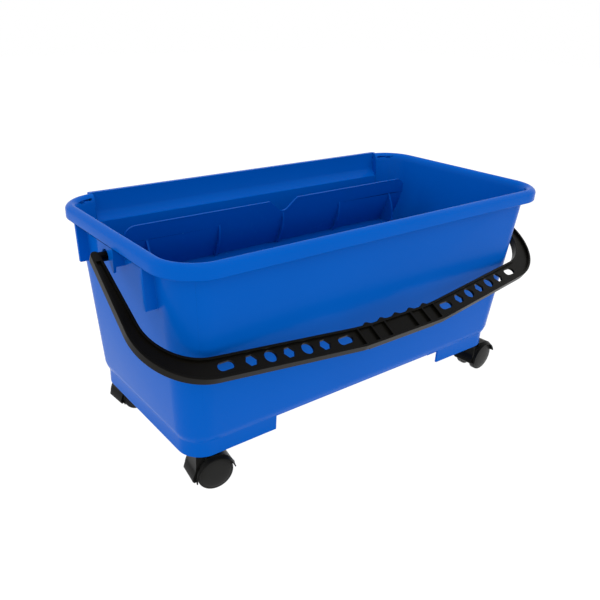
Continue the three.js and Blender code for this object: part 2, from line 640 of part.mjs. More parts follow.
// Circle about the axle in side view, sunk below it, at a depth along the axle
function sideCircle(radius, sink, depth) {
  const points = [];
  for (let k = 0; k < 2 * SEGMENTS; k += 1) {
    const angle = (Math.PI * k) / SEGMENTS;
    const height = WHEEL_RADIUS - sink + radius * Math.sin(angle);
    points.push(new THREE.Vector3(TRAIL + radius * Math.cos(angle), height, depth));
  }
  return points;
}

// Flared rim of the hood over one wheel's face
function lip() {
  const root = sideCircle(HOOD_OUTER, 0, HOOD_HALF - JOIN);
  const flare = loft([root, sideCircle(LIP_OUTER, LIP_SINK, LIP_HALF)]);
  const hollow = loft([sideCircle(HOOD_INNER, 0, 0), sideCircle(HOOD_INNER, 0, HOOD_HALF),
    sideCircle(LIP_INNER, LIP_SINK, LIP_HALF), sideCircle(LIP_INNER, LIP_SINK, LIP_HALF + JOIN)]);
  const [low] = arc(FAR, NOSE_END_ANGLE, LIP_ANGLE);
  const [high] = arc(FAR, LIP_ANGLE, NOSE_END_ANGLE);
  const below = slab([[TRAIL, WHEEL_RADIUS], low, [low[0], -FAR], [high[0], -FAR], high], 0, FAR);
  return cut(flare, [hollow, solidOf(below)]).rotate([90, 0, 0]);
}

function hood() {
  const outer = arc(HOOD_OUTER, LIP_ANGLE, 90);
  const noseFront = TRAIL - HOOD_OUTER;
  const nose = NOSE_PROUD.map((proud, k) => [noseFront - proud, NOSE_HEIGHT_SHARES[k] * HOOD_TOP]).reverse();
  const inside = arc(HOOD_INNER, NOSE_END_ANGLE, LIP_ANGLE);
  const cap = slabXZ([...outer, ...nose, ...inside], -HOOD_HALF, HOOD_HALF);
  const nearLip = lip();
  const heel = [TRAIL + AXLE_RADIUS + HEEL_WALL, NOSE_HEIGHT_SHARES[0] * HOOD_TOP];
  const keel = slabXZ([...arc(HOOD_OUTER - JOIN, LIP_ANGLE, 90), ...nose, heel], -KEEL_HALF, KEEL_HALF);
  const bore = post(HOOD_BORE, [STEM_LOW - RUN, FOOT_Z + JOIN], 0, 0, PIN_SEGMENTS);
  const axleBore = solidOf(cylinder(AXLE_RADIUS + RUN, -FAR, FAR, PIN_SEGMENTS, 0)
    .rotateX(rad(90)).translate(TRAIL, 0, WHEEL_RADIUS));
  const over = HOOD_TOP + JOIN;
  const slope = [[HOOD_HALF, SHOULDER_LOW], [SHOULDER_TOP_HALF, HOOD_TOP], [SHOULDER_TOP_HALF, over],
    [HOOD_HALF + JOIN, over], [HOOD_HALF + JOIN, SHOULDER_LOW]];
  const shoulder = slabYZ([...slope].reverse(), -HOOD_OUTER, SHOULDER_END);
  return cut(join([cap, keel, nearLip, mirrorY(nearLip)]), [bore, axleBore, shoulder, mirrorY(shoulder)]);
}

function wheel(sign) {
  const bore = AXLE_RADIUS + RUN;
  const [rimInset] = WHEEL_TREAD[0];
  const tread = WHEEL_TREAD.map(([inset, depth]) => [WHEEL_RADIUS - inset, depth]);
  const profile = [[bore, 0], [WHEEL_HUB_RADIUS, 0], [WHEEL_HUB_RADIUS, WHEEL_DISH],
    [WHEEL_RADIUS - rimInset, WHEEL_DISH], ...tread, [0, WHEEL_CROWN], [0, HUB_BORE_DEPTH],
    [bore, HUB_BORE_DEPTH], [bore, 0]];
  const points = profile.map(([radius, depth]) => new THREE.Vector2(radius, WHEEL_START + depth));
  const geometry = new THREE.LatheGeometry(points, SEGMENTS);
  if (sign < 0) geometry.rotateX(rad(180));
  geometry.translate(TRAIL, 0, WHEEL_RADIUS);
  return geometry;
}

const object = new THREE.Group();
object.name = 'window_cleaning_bucket';

function addPiece(name, geometry, material) {
  const mesh = new THREE.Mesh(geometry, material);
  mesh.name = name;
  object.add(mesh);
}

addPiece('tub', geometryOf(tub()), blue);
addPiece('sieve', geometryOf(sieve()), blue);
addPiece('handle', handle(), black);

for (const { name, side, swivel } of CASTORS) {
  const place = (geometry) => {
    const placed = geometry.clone();
    placed.rotateZ(rad(swivel));
    placed.translate(side[0] * castorPlace[0], side[1] * castorPlace[1], 0);
    return placed;
  };
  const stemTop = FOOT_Z + STEM_HEIGHT_OVER_FOOT;
  const stem = post(STEM_RADIUS, [STEM_LOW, stemTop], 0, 0, PIN_SEGMENTS, STEM_TIP);
  const sleeveZ = SLEEVE_RISE.map((rise) => FOOT_Z + rise);
  const sleeve = post(SLEEVE_RADIUS, sleeveZ, 0, 0, PIN_SEGMENTS)
    .subtract(post(SLEEVE_BORE, [0, FAR], 0, 0, PIN_SEGMENTS));
  const axleHalf = WHEEL_START + HUB_BORE_DEPTH - AXLE_END_GAP;
  const axle = cylinder(AXLE_RADIUS, -axleHalf, axleHalf, PIN_SEGMENTS, 0);
  axle.rotateX(rad(90));
  axle.translate(TRAIL, 0, WHEEL_RADIUS);
  addPiece(`castor_${name}_hood`, place(geometryOf(hood())), black);
  addPiece(`castor_${name}_stem`, place(geometryOf(stem)), steel);
  addPiece(`castor_${name}_sleeve`, place(geometryOf(sleeve)), steel);
  addPiece(`castor_${name}_axle`, place(axle), steel);
  addPiece(`castor_${name}_wheel_rear`, place(wheel(1)), black);
  addPiece(`castor_${name}_wheel_front`, place(wheel(-1)), black);
}

// The origin is on the floor under the middle of the whole part, handle included
const extent = new THREE.Box3().setFromObject(object);
object.position.y = -extent.getCenter(new THREE.Vector3()).y;
object.updateMatrixWorld(true);

export default object;
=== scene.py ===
# %% [markdown]
# A window cleaning bucket, dressed in Blender.
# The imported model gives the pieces, their sizes and the way they move.
# This script gives each piece a finer surface and a finish: moulded blue polypropylene for the tub and its
# sieve, black nylon for the handle and the castors, and zinc plated steel for the pins.
# Shapes are drawn in millimetres round the tub's middle, and are scaled to metres and moved to the frame's
# origin when a piece is finished.

import json
import math

import bmesh
import bpy
from mathutils import Matrix, Vector


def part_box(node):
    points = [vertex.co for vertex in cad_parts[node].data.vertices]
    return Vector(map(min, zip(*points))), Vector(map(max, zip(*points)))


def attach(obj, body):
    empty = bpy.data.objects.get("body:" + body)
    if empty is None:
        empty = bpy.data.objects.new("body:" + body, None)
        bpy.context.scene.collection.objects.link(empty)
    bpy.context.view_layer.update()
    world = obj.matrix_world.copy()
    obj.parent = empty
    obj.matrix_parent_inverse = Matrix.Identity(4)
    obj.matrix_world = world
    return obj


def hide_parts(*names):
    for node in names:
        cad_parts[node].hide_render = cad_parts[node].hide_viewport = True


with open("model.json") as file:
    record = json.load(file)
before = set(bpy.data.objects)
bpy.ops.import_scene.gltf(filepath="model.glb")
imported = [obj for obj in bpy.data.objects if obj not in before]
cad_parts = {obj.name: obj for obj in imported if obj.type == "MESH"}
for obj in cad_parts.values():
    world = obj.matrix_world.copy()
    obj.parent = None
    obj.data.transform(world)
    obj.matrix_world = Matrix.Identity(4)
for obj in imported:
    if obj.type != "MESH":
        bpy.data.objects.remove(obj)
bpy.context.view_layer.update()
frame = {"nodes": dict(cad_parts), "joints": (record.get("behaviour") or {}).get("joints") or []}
MM = 0.001
joints = {joint["name"]: joint for joint in frame["joints"]}
tub_middle = Vector((0, joints["handle_swing"]["pos_m"][1], 0))

# %% [markdown]
# The camera stands where the photographer stood. Its place from the tub's middle, its turn and its focal
# length were found from the edges of the tub that are parallel on the real object. The optical axis doesn't
# pass through the middle of the picture, so a small shift moves the frame over the sensor.

# %% Camera
IMAGE_SIZE = 600
SENSOR = 36.0
FOCAL_PIXELS = 650.54
OPTICAL_CENTRE = (256.27, 307.37)
CAMERA_PLACE = Vector((-0.49503, -0.55842, 0.45448))
AZIMUTH = math.radians(-36.406)
ELEVATION = math.radians(24.661)
ROLL = math.radians(1.273)


def camera_axes():
    """The camera's right, up and forward directions, with its roll."""
    level = math.cos(ELEVATION)
    forward = Vector((-math.sin(AZIMUTH) * level, math.cos(AZIMUTH) * level, -math.sin(ELEVATION)))
    right = forward.cross(Vector((0, 0, 1))).normalized()
    up = right.cross(forward)
    turned_right = right * math.cos(ROLL) + up * math.sin(ROLL)
    turned_up = up * math.cos(ROLL) - right * math.sin(ROLL)
    return turned_right, turned_up, forward


def make_camera():
    data = bpy.data.cameras.new("photo_camera")
    camera = bpy.data.objects.new("photo_camera", data)
    bpy.context.scene.collection.objects.link(camera)
    right, up, forward = camera_axes()
    turn = Matrix((right, up, -forward)).transposed().to_4x4()
    camera.matrix_world = Matrix.Translation(tub_middle + CAMERA_PLACE) @ turn
    data.sensor_width = SENSOR
    data.lens = FOCAL_PIXELS * SENSOR / IMAGE_SIZE
    data.shift_x = (IMAGE_SIZE / 2 - OPTICAL_CENTRE[0]) / IMAGE_SIZE
    data.shift_y = (OPTICAL_CENTRE[1] - IMAGE_SIZE / 2) / IMAGE_SIZE
    return camera


bpy.context.scene.camera = make_camera()
print("lens:", round(bpy.context.scene.camera.data.lens, 2), "mm")

# %% [markdown]
# The photograph is a studio picture: everything round the bucket is white, and the light is soft and comes
# from all sides. A white world and a glowing floor give that light, and three weak softboxes add a little
# shape to the edges. The standard view keeps the colours as they are set.

# %% Stage and light
STAGE_HALF = 6.0
WORLD_STRENGTH = 1.0
FLOOR_GLOW = 1.0
FLOOR_GREY = 0.1
FLOOR_ROUGHNESS = 0.6
WHITE = (1, 1, 1, 1)
SOFTBOXES = [("softbox_top", (0.1, -0.1, 1.9), (0, 0, 0.1), (1.6, 1.2), 3),
             ("softbox_left", (-1.7, 0.5, 0.9), (0, 0, 0.15), (0.6, 0.5), 1),
             ("softbox_front", (0.5, -1.9, 1.5), (0, 0, 0.15), (0.6, 0.4), 1)]


def area_light(name, place, target, size, power):
    data = bpy.data.lights.new(name, "AREA")
    data.shape = "RECTANGLE"
    data.size, data.size_y = size
    data.energy = power
    light = bpy.data.objects.new(name, data)
    light.location = place
    light.rotation_euler = (Vector(target) - Vector(place)).to_track_quat("-Z", "Y").to_euler()
    bpy.context.scene.collection.objects.link(light)


def make_floor():
    bm = bmesh.new()
    bmesh.ops.create_grid(bm, x_segments=1, y_segments=1, size=STAGE_HALF)
    mesh = bpy.data.meshes.new("floor")
    bm.to_mesh(mesh)
    bm.free()
    floor = bpy.data.objects.new("floor", mesh)
    bpy.context.scene.collection.objects.link(floor)
    material = bpy.data.materials.new("floor_white")
    material.use_nodes = True
    shader = material.node_tree.nodes["Principled BSDF"]
    shader.inputs["Base Color"].default_value = (FLOOR_GREY, FLOOR_GREY, FLOOR_GREY, 1)
    shader.inputs["Roughness"].default_value = FLOOR_ROUGHNESS
    shader.inputs["Specular IOR Level"].default_value = 0.0
    shader.inputs["Emission Color"].default_value = WHITE
    shader.inputs["Emission Strength"].default_value = FLOOR_GLOW
    mesh.materials.append(material)


make_floor()
world = bpy.data.worlds.new("studio")
world.use_nodes = True
world.node_tree.nodes["Background"].inputs["Color"].default_value = WHITE
world.node_tree.nodes["Background"].inputs["Strength"].default_value = WORLD_STRENGTH
bpy.context.scene.world = world
for softbox in SOFTBOXES:
    area_light(*softbox)
bpy.context.scene.view_settings.view_transform = "Standard"

# %% [markdown]
# A finish is a small network of nodes. Writing the sums as Python expressions keeps it readable, so one class
# wraps a node's output and turns + and * into Math nodes. Every other node comes from one method, which sets
# the node's own settings first and then fills its sockets with values or links.


# %% Helpers for finishes
class Value:
    """A number that changes over the surface: the output of a node."""

    def __init__(self, finish, socket):
        self.finish = finish
        self.socket = socket

    def _math(self, operation, first, second):
        return self.finish.node("ShaderNodeMath", {"operation": operation}, {0: first, 1: second})

    def __add__(self, other):
        return self._math("ADD", self, other)

    def __mul__(self, other):
        return self._math("MULTIPLY", self, other)

    __radd__ = __add__
    __rmul__ = __mul__


class Finish:
    """A material under construction, with one Principled shader."""

    def __init__(self, name):
        self.material = bpy.data.materials.new(name)
        self.material.use_nodes = True
        self.tree = self.material.node_tree
        self.shader = self.tree.nodes["Principled BSDF"]
        self.place = self.node("ShaderNodeTexCoord", output="Object")

    def _fill(self, socket, value):
        if isinstance(value, Value):
            self.tree.links.new(value.socket, socket)
        else:
            socket.default_value = value

    def node(self, kind, settings=None, inputs=None, output=None):
        made = self.tree.nodes.new(kind)
        for key, value in (settings or {}).items():
            if key == "stops":
                self._set_stops(made.color_ramp, value)
            else:
                setattr(made, key, value)
        for key, value in (inputs or {}).items():
            self._fill(self._input(made, key), value)
        if output:
            return Value(self, made.outputs[output])
        return Value(self, next(socket for socket in made.outputs if socket.enabled))

    @staticmethod
    def _input(made, key):
        if isinstance(key, int):
            return made.inputs[key]
        return next(socket for socket in made.inputs if socket.enabled and socket.name == key)

    @staticmethod
    def _set_stops(ramp, stops):
        while len(ramp.elements) < len(stops):
            ramp.elements.new(1)
        for element, (position, shade) in zip(ramp.elements, stops):
            element.position = position
            element.color = (shade, shade, shade, 1)

    def noise(self, scale, detail=2, roughness=0.5):
        inputs = {"Vector": self.place, "Scale": scale, "Detail": detail, "Roughness": roughness}
        return self.node("ShaderNodeTexNoise", None, inputs, output="Fac")

    def ramp(self, value, stops):
        return self.node("ShaderNodeValToRGB", {"stops": stops}, {"Fac": value}, output="Color")

    def mix(self, share, first, second):
        inputs = {"Factor": share, "A": first, "B": second}
        return self.node("ShaderNodeMix", {"data_type": "RGBA"}, inputs)

    def bump(self, height, distance, normal=None):
        inputs = {"Height": height, "Distance": distance, "Strength": 1.0}
        if normal:
            inputs["Normal"] = normal
        return self.node("ShaderNodeBump", None, inputs)

    def surface(self, **inputs):
        for key, value in inputs.items():
            self._fill(self.shader.inputs[key.replace("_", " ")], value)
        return self.material


print("finish helpers ready")

# %% [markdown]
# The tub and the sieve are injection moulded polypropylene. It is coloured through, so it has no paint edge:
# what the eye reads is a very even deep blue, a satin gloss with soft reflections, slow waves where the long
# walls sank as they cooled, and a fine grain from the mould. A low index of refraction keeps the white studio
# from washing the walls out at a flat angle. Handling leaves faint dull scuffs, which only show in the gloss.
# Noise at three scales makes these, on Object coordinates, so nothing slides.

# %% Blue polypropylene
WAVE_SCALE = 9
WAVE_DEPTH = 0.0005
WAVE_DULLING = 0.04
GRAIN_SCALE = 2500
GRAIN_DEPTH = 0.000004
SCUFF_SCALE = 60
SCUFF_STOPS = [(0.5, 0), (0.75, 1)]
SCUFF_DULLING = 0.03
BLUE_IOR = 1.1


def blue_plastic(name, deep, light, gloss):
    finish = Finish(name)
    cloud = finish.noise(WAVE_SCALE, detail=1)
    grain = finish.noise(GRAIN_SCALE, detail=1)
    scuff = finish.ramp(finish.noise(SCUFF_SCALE, detail=6, roughness=0.7), SCUFF_STOPS)
    base = finish.mix(cloud, (*deep, 1), (*light, 1))
    roughness = gloss + WAVE_DULLING * cloud + SCUFF_DULLING * scuff
    waves = finish.bump(cloud, WAVE_DEPTH)
    skin = finish.bump(grain, GRAIN_DEPTH, waves)
    return finish.surface(Base_Color=base, Roughness=roughness, Normal=skin, IOR=BLUE_IOR)


tub_blue = blue_plastic("blue_polypropylene_tub", (0.0, 0.098, 0.49), (0.0, 0.108, 0.53), 0.2)
# The sieve's finish is the same blue set darker: painted shade, because the sieve stands down inside the tub
# where less light reaches it.
sieve_blue_painted_shade = blue_plastic("blue_polypropylene_sieve_painted_shade", (0.0, 0.072, 0.4), (0.0, 0.082, 0.43), 0.24)
print("finishes:", tub_blue.name, sieve_blue_painted_shade.name)

# %% [markdown]
# The handle and the castors are black nylon. It is never a pure black: the skin is a dark warm grey with a
# broad sheen, a fine spark-eroded texture, and a slight bloom where the glass fibre comes near the surface.
# The wheels are the same family, a little greyer.

# %% Black nylon
TEXTURE_SCALE = 900
TEXTURE_DULLING = 0.05
BLOOM_SCALE = 25
BLOOM_DULLING = 0.1
BLACKS = {
    "handle": ((0.002, 0.0018, 0.0012), (0.005, 0.0042, 0.0025), 0.28, 1.16, 0.00003),
    "hood": ((0.003, 0.003, 0.0027), (0.006, 0.006, 0.0054), 0.24, 1.16, 0.00002),
    "wheel": ((0.012, 0.012, 0.0115), (0.018, 0.018, 0.017), 0.28, 1.18, 0.00002),
}


def black_nylon(name, dark, pale, gloss, ior, texture):
    finish = Finish(name)
    bloom = finish.noise(BLOOM_SCALE, detail=3)
    pits = finish.noise(TEXTURE_SCALE, detail=2, roughness=0.6)
    base = finish.mix(bloom, (*dark, 1), (*pale, 1))
    roughness = gloss + BLOOM_DULLING * bloom + TEXTURE_DULLING * pits
    skin = finish.bump(pits, texture)
    return finish.surface(Base_Color=base, Roughness=roughness, Normal=skin, IOR=ior)


handle_black, hood_black, wheel_black = (
    black_nylon(f"black_nylon_{part}", *row) for part, row in BLACKS.items())
print("finishes:", handle_black.name, hood_black.name, wheel_black.name)

# %% [markdown]
# Stems, grip sleeves and axles are drawn steel with a thin zinc plating. The plating is bright but a little
# cloudy, and drawing leaves very fine lines along the pin, so the noise is stretched along Z.

# %% Zinc plated steel
STEEL_CLOUD_SCALE = 180
STEEL_SHADES = ((0.58, 0.59, 0.6, 1), (0.7, 0.7, 0.69, 1))
STEEL_GLOSS = 0.22
STEEL_CLOUD_DULLING = 0.14
DRAWN_STRETCH = (700, 700, 40)
DRAWN_DULLING = 0.08
DRAWN_DEPTH = 0.00001


def zinc_steel():
    finish = Finish("zinc_plated_steel")
    cloud = finish.noise(STEEL_CLOUD_SCALE, detail=3)
    stretched = finish.node("ShaderNodeMapping", None, {"Vector": finish.place, "Scale": DRAWN_STRETCH})
    lines = finish.node("ShaderNodeTexNoise", None, {"Vector": stretched, "Scale": 1.0}, output="Fac")
    base = finish.mix(cloud, *STEEL_SHADES)
    roughness = STEEL_GLOSS + STEEL_CLOUD_DULLING * cloud + DRAWN_DULLING * lines
    skin = finish.bump(lines, DRAWN_DEPTH)
    return finish.surface(Base_Color=base, Roughness=roughness, Normal=skin, Metallic=1.0)


steel = zinc_steel()
pins = [node for name, node in frame["nodes"].items() if name.endswith(("_stem", "_sleeve", "_axle"))]
for pin in pins:
    pin.data.materials.clear()
    pin.data.materials.append(steel)
print("steel pins:", len(pins))

# %% [markdown]
# A few helpers draw every mesh. A rounded rectangle starts as four vertices whose corners are bevelled, and a
# stack of such loops is bridged into a wall. A flat outline is one face that is extruded. A turned piece is a
# profile that is spun. Pieces that one mould makes are then joined or cut with the Boolean modifier, because
# bmesh has no operator that joins two closed solids.

# %% Helpers for meshes
CORNER_SEGMENTS = 16
ROD_SEGMENTS = 48
CURVE_STEPS = 6


def box_mm(node):
    """A node's corners in millimetres from the tub's middle."""
    low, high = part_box(node)
    return (low - tub_middle) / MM, (high - tub_middle) / MM


def rounded_loop(bm, half, radius, z, middle=(0, 0), segments=CORNER_SEGMENTS):
    """A rounded rectangle of edges at one height."""
    older = set(bm.edges)
    signs = ((1, 1), (-1, 1), (-1, -1), (1, -1))
    corners = [bm.verts.new((middle[0] + sx * half[0], middle[1] + sy * half[1], z)) for sx, sy in signs]
    for first, second in zip(corners, corners[1:] + corners[:1]):
        bm.edges.new((first, second))
    bmesh.ops.bevel(bm, geom=corners, offset=radius, offset_type="OFFSET", affect="VERTICES",
                    segments=segments, profile=0.5, material=-1)
    return [edge for edge in bm.edges if edge not in older]


def loft(levels, middle=(0, 0), segments=CORNER_SEGMENTS):
    """A closed solid through rounded rectangles, each given as (half, radius, z)."""
    bm = bmesh.new()
    loops = [rounded_loop(bm, half, radius, z, middle, segments) for half, radius, z in levels]
    for lower, upper in zip(loops, loops[1:]):
        bmesh.ops.bridge_loops(bm, edges=lower + upper)
    for loop in (loops[0], loops[-1]):
        bmesh.ops.contextual_create(bm, geom=loop)
    bmesh.ops.recalc_face_normals(bm, faces=bm.faces)
    return bm


def slab(outline, thickness, start=0.0):
    """A flat outline of (u, v) pairs, extruded along Z from start."""
    bm = bmesh.new()
    face = bm.faces.new([bm.verts.new((u, v, start)) for u, v in outline])
    grown = bmesh.ops.extrude_face_region(bm, geom=[face])["geom"]
    moved = [item for item in grown if isinstance(item, bmesh.types.BMVert)]
    bmesh.ops.translate(bm, verts=moved, vec=(0, 0, thickness))
    bmesh.ops.recalc_face_normals(bm, faces=bm.faces)
    return bm


def turn(bm, columns):
    """Maps the axes of a drawing onto the object's axes."""
    bmesh.ops.transform(bm, matrix=Matrix(columns).transposed().to_4x4(), verts=bm.verts)
    bmesh.ops.recalc_face_normals(bm, faces=bm.faces)
    return bm


def slab_yz(outline, low, high):
    """An outline of (y, z) pairs, thickened along X."""
    return turn(slab(outline, high - low, low), ((0, 1, 0), (0, 0, 1), (1, 0, 0)))


def slab_xz(outline, low, high):
    """An outline of (x, z) pairs, thickened along Y."""
    return turn(slab(outline, high - low, low), ((1, 0, 0), (0, 0, 1), (0, 1, 0)))


def block(x, y, z):
    return slab([(x[0], y[0]), (x[1], y[0]), (x[1], y[1]), (x[0], y[1])], z[1] - z[0], z[0])


def rod(radius, start, end):
    """A round rod between two points."""
    bm = bmesh.new()
    start, end = Vector(start), Vector(end)
    axis = end - start
    bmesh.ops.create_cone(bm, cap_ends=True, segments=ROD_SEGMENTS, radius1=radius, radius2=radius,
                          depth=axis.length)
    place = Matrix.Translation((start + end) / 2) @ axis.to_track_quat("Z", "Y").to_matrix().to_4x4()
    bmesh.ops.transform(bm, matrix=place, verts=bm.verts)
    return bm


def arc(centre, radius, start, end, steps):
    """Points on a circle, from one angle to another in degrees."""
    angles = [math.radians(start + (end - start) * step / steps) for step in range(steps + 1)]
    return [(centre[0] + radius * math.cos(a), centre[1] + radius * math.sin(a)) for a in angles]


def curve_through(points, steps=CURVE_STEPS):
    """A smooth line through given points."""
    ends = [points[0], *points, points[-1]]
    line = []
    for before, first, second, after in zip(ends, ends[1:], ends[2:], ends[3:]):
        a, b, c, d = (Vector(point) for point in (before, first, second, after))
        for step in range(steps):
            t = step / steps
            line.append(0.5 * (2 * b + (c - a) * t + (2 * a - 5 * b + 4 * c - d) * t * t
                               + (3 * b - a - 3 * c + d) * t ** 3))
    line.append(Vector(points[-1]))
    return [tuple(point) for point in line]


print("mesh helpers ready")

# %% [markdown]
# A solid is joined and cut while its mesh is still in millimetres. Its sharp edges are rounded last, because
# every moulded edge has a small radius that catches the light.

# %% Helpers for solids
SHARP_ANGLE = 32
ROUND_SEGMENTS = 2
MERGE = 0.01


def solid(bm, name="solid"):
    """An object from a bmesh, still in millimetres."""
    mesh = bpy.data.meshes.new(name)
    bm.to_mesh(mesh)
    bm.free()
    made = bpy.data.objects.new(name, mesh)
    bpy.context.scene.collection.objects.link(made)
    return made


def bake(body):
    """Keeps what a solid's modifiers make."""
    shaped = body.evaluated_get(bpy.context.evaluated_depsgraph_get())
    mesh = bpy.data.meshes.new_from_object(shaped)
    body.modifiers.clear()
    old = body.data
    body.data = mesh
    bpy.data.meshes.remove(old)
    return body


def combine(body, operation, *others):
    """Joins the others to a body, or cuts them from it, one after another."""
    for bm in others:
        other = solid(bm)
        step = body.modifiers.new("combine", "BOOLEAN")
        step.operation = operation
        step.solver = "EXACT"
        step.object = other
        bake(body)
        bpy.data.meshes.remove(other.data)
    return body


def round_edges(body, width, angle=SHARP_ANGLE):
    """Rounds every edge that is sharper than the angle."""
    step = body.modifiers.new("round_edges", "BEVEL")
    step.width = width
    step.segments = ROUND_SEGMENTS
    step.limit_method = "ANGLE"
    step.angle_limit = math.radians(angle)
    step.use_clamp_overlap = False
    step.harden_normals = True
    return body


def mesh_of(made):
    """Takes a solid's mesh back into a bmesh and removes the object."""
    bm = bmesh.new()
    bm.from_mesh(made.data)
    bpy.data.meshes.remove(made.data)
    return bm


def mirrored(make, axis):
    """A shape and its mirror image, both made fresh."""
    scale = [1, 1, 1]
    scale[axis] = -1
    other = make()
    bmesh.ops.scale(other, vec=scale, verts=other.verts)
    bmesh.ops.recalc_face_normals(other, faces=other.faces)
    return [make(), other]


def finish_piece(made, name, material, body, nodes, edge, angle=SHARP_ANGLE, merge=MERGE):
    """Scales a solid to metres, rounds its sharp edges and hands it to its body."""
    bm = bmesh.new()
    bm.from_mesh(made.data)
    bmesh.ops.remove_doubles(bm, verts=bm.verts, dist=merge)
    bmesh.ops.dissolve_degenerate(bm, edges=bm.edges, dist=merge)
    bmesh.ops.scale(bm, vec=(MM, MM, MM), verts=bm.verts)
    bmesh.ops.translate(bm, vec=tub_middle, verts=bm.verts)
    bm.to_mesh(made.data)
    bm.free()
    made.name = name
    made.data.name = name
    made.data.materials.clear()
    made.data.materials.append(material)
    for polygon in made.data.polygons:
        polygon.use_smooth = True
        polygon.material_index = 0
    if edge:
        round_edges(made, edge * MM, angle)
    else:
        made.data.set_sharp_from_angle(angle=math.radians(angle))
        made.modifiers.new("even_shading", "WEIGHTED_NORMAL").keep_sharp = True
    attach(made, body)
    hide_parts(*nodes)
    print(name, "faces:", len(made.data.polygons))
    return made


print("solid helpers ready")

# %% [markdown]
# The tub is one moulding about half a metre long. Its wall is a tapered rounded box with a soft bottom edge,
# hung under a rolled rim that stands proud of the wall like a small gutter turned upside down. A loft of
# rounded rectangles follows both, because every level of the real tub is such a rectangle.

# %% Tub sizes
tub_low, tub_high = box_mm("tub")
FOOT_Z = tub_low.z
PANEL_RISE = 0.8
RIM_TOP = tub_high.z - PANEL_RISE
RIM_HALF = (tub_high.x, -tub_low.y)
RIM_RADIUS = 46
RIM_OVERHANG = (25.7, 26.1)
BODY_HALF = [size - over for size, over in zip(RIM_HALF, RIM_OVERHANG)]
BODY_RADIUS = 28.6
BODY_BASE = 18.8
SKIRT_STEP = 3.8
SKIRT_HALF = [size - SKIRT_STEP for size in BODY_HALF]
SKIRT_RADIUS = 26
TAPER_SHARES = (0.0756, 0.0686)
RADIUS_GROWTH_SHARE = 0.032
WALL = 2.8
FLOOR_LOW = 17.6
FLOOR_TOP = 20.6
FLOOR_ROUND = [(0, 3), (1.2, 0.6)]
JOIN = 1
BOTTOM_ROUND = [(17, 0), (18.2, 0.35), (20, 1.35), (22, 2.4), (24.5, 3.3), (28.4, 4.5)]
RIM_OUTER = [(0.4, 14), (0.1, 13.7), (0, 13.2), (0, 5.2), (0.35, 3.9), (1.2, 2.6), (2.5, 1.5), (4.1, 0.6),
             (6.1, 0)]
RIM_INNER = [(7.1, 0), (8.4, 0.3), (9.9, 1.2), (11.4, 2.7), (12.4, 4.5), (13.2, 7), (13.7, 9.4)]
RIM_HOLLOW = [(2.6, 16), (2.6, 6.2), (4.6, 3.9)]
RIM_WELD_DROP = 3.2
print("rim halves:", [round(size, 1) for size in RIM_HALF], "foot at:", round(FOOT_Z, 1))


# %% Tub levels
def up(height):
    """A height that is counted from the underside of the feet."""
    return FOOT_Z + height


def wall_level(height, inset):
    rise = height - BODY_BASE
    half = [size + share * rise - inset for size, share in zip(BODY_HALF, TAPER_SHARES)]
    return half, BODY_RADIUS + RADIUS_GROWTH_SHARE * rise - inset, up(height)


def rim_level(inset, drop):
    return [size - inset for size in RIM_HALF], RIM_RADIUS - inset, RIM_TOP - drop


def skirt_level(height, grow):
    return [size + grow for size in SKIRT_HALF], SKIRT_RADIUS + grow, up(height)


def tub_outside():
    weld = RIM_TOP - FOOT_Z - RIM_WELD_DROP
    return loft([skirt_level(0, 0), *(skirt_level(*row) for row in BOTTOM_ROUND), wall_level(weld, 0)])


def tub_inside():
    """The space for the water, from the floor up past the rim."""
    lowest = BOTTOM_ROUND[-1][0]
    round_floor = [skirt_level(FLOOR_TOP + rise, -WALL - inset) for rise, inset in FLOOR_ROUND]
    inner = [rim_level(*row) for row in reversed(RIM_INNER)]
    open_top = rim_level(RIM_INNER[0][0], -JOIN)
    return loft([*round_floor, wall_level(lowest, WALL), *inner, open_top])


tub = solid(tub_outside(), "tub_shell")
rim = combine(solid(loft([rim_level(*row) for row in RIM_OUTER])), "DIFFERENCE",
              loft([rim_level(*row) for row in RIM_HOLLOW]))
print("tub outside faces:", len(tub.data.polygons), "rim faces:", len(rim.data.polygons))

# %% [markdown]
# At the rear a straight panel rises a little above the rim, where a roller or a squeegee can rest. Its inner
# side is set back, so the rim's roll stops at the two ends of the panel. Under the floor the two short sides
# carry a skirt each, which are the feet. They are what stays when the long sides are cut away.

# %% Panel, recess and feet
panel_y = tub_high.y
PANEL_INSET = 40.7
RECESS_INSET = 44
PANEL_OUTLINE = [(-23.3, 178), (-16.3, 178), (-3.9, 191), (-3.9, 204.4), (0, 204.4), (0, 217.4),
                 (-0.5, 218.6), (-1.8, 219.2), (-5.1, 219.2), (-23.3, 219.2)]
RECESS_OUTLINE = [(-75.3, 186.4), (-18.3, 186.4), (-14, 188.2), (-8.6, 193.6), (-6.7, 198), (-6.7, 230),
                  (-75.3, 230)]
CUTOUT_HALF = 130
CUTOUT_HEIGHT = 17
FAR = 400


def rear_outline(outline):
    return [(panel_y + y, up(z)) for y, z in outline]


def rear_slab(outline, inset):
    return slab_yz(rear_outline(outline), inset - RIM_HALF[0], RIM_HALF[0] - inset)


combine(tub, "UNION", rear_slab(PANEL_OUTLINE, PANEL_INSET))
under_floor = loft([skirt_level(-JOIN, -WALL), skirt_level(CUTOUT_HEIGHT, -WALL)])
long_gaps = block((-CUTOUT_HALF, CUTOUT_HALF), (-FAR, FAR), (up(-JOIN), up(CUTOUT_HEIGHT)))
combine(tub, "DIFFERENCE", under_floor, long_gaps)
print("tub faces:", len(tub.data.polygons))

# %% [markdown]
# Each short wall carries a small group of mouldings under the rim: two webs that stiffen the rim, two guards
# and an arched apron that hide the handle's peg, and the round bearing itself.

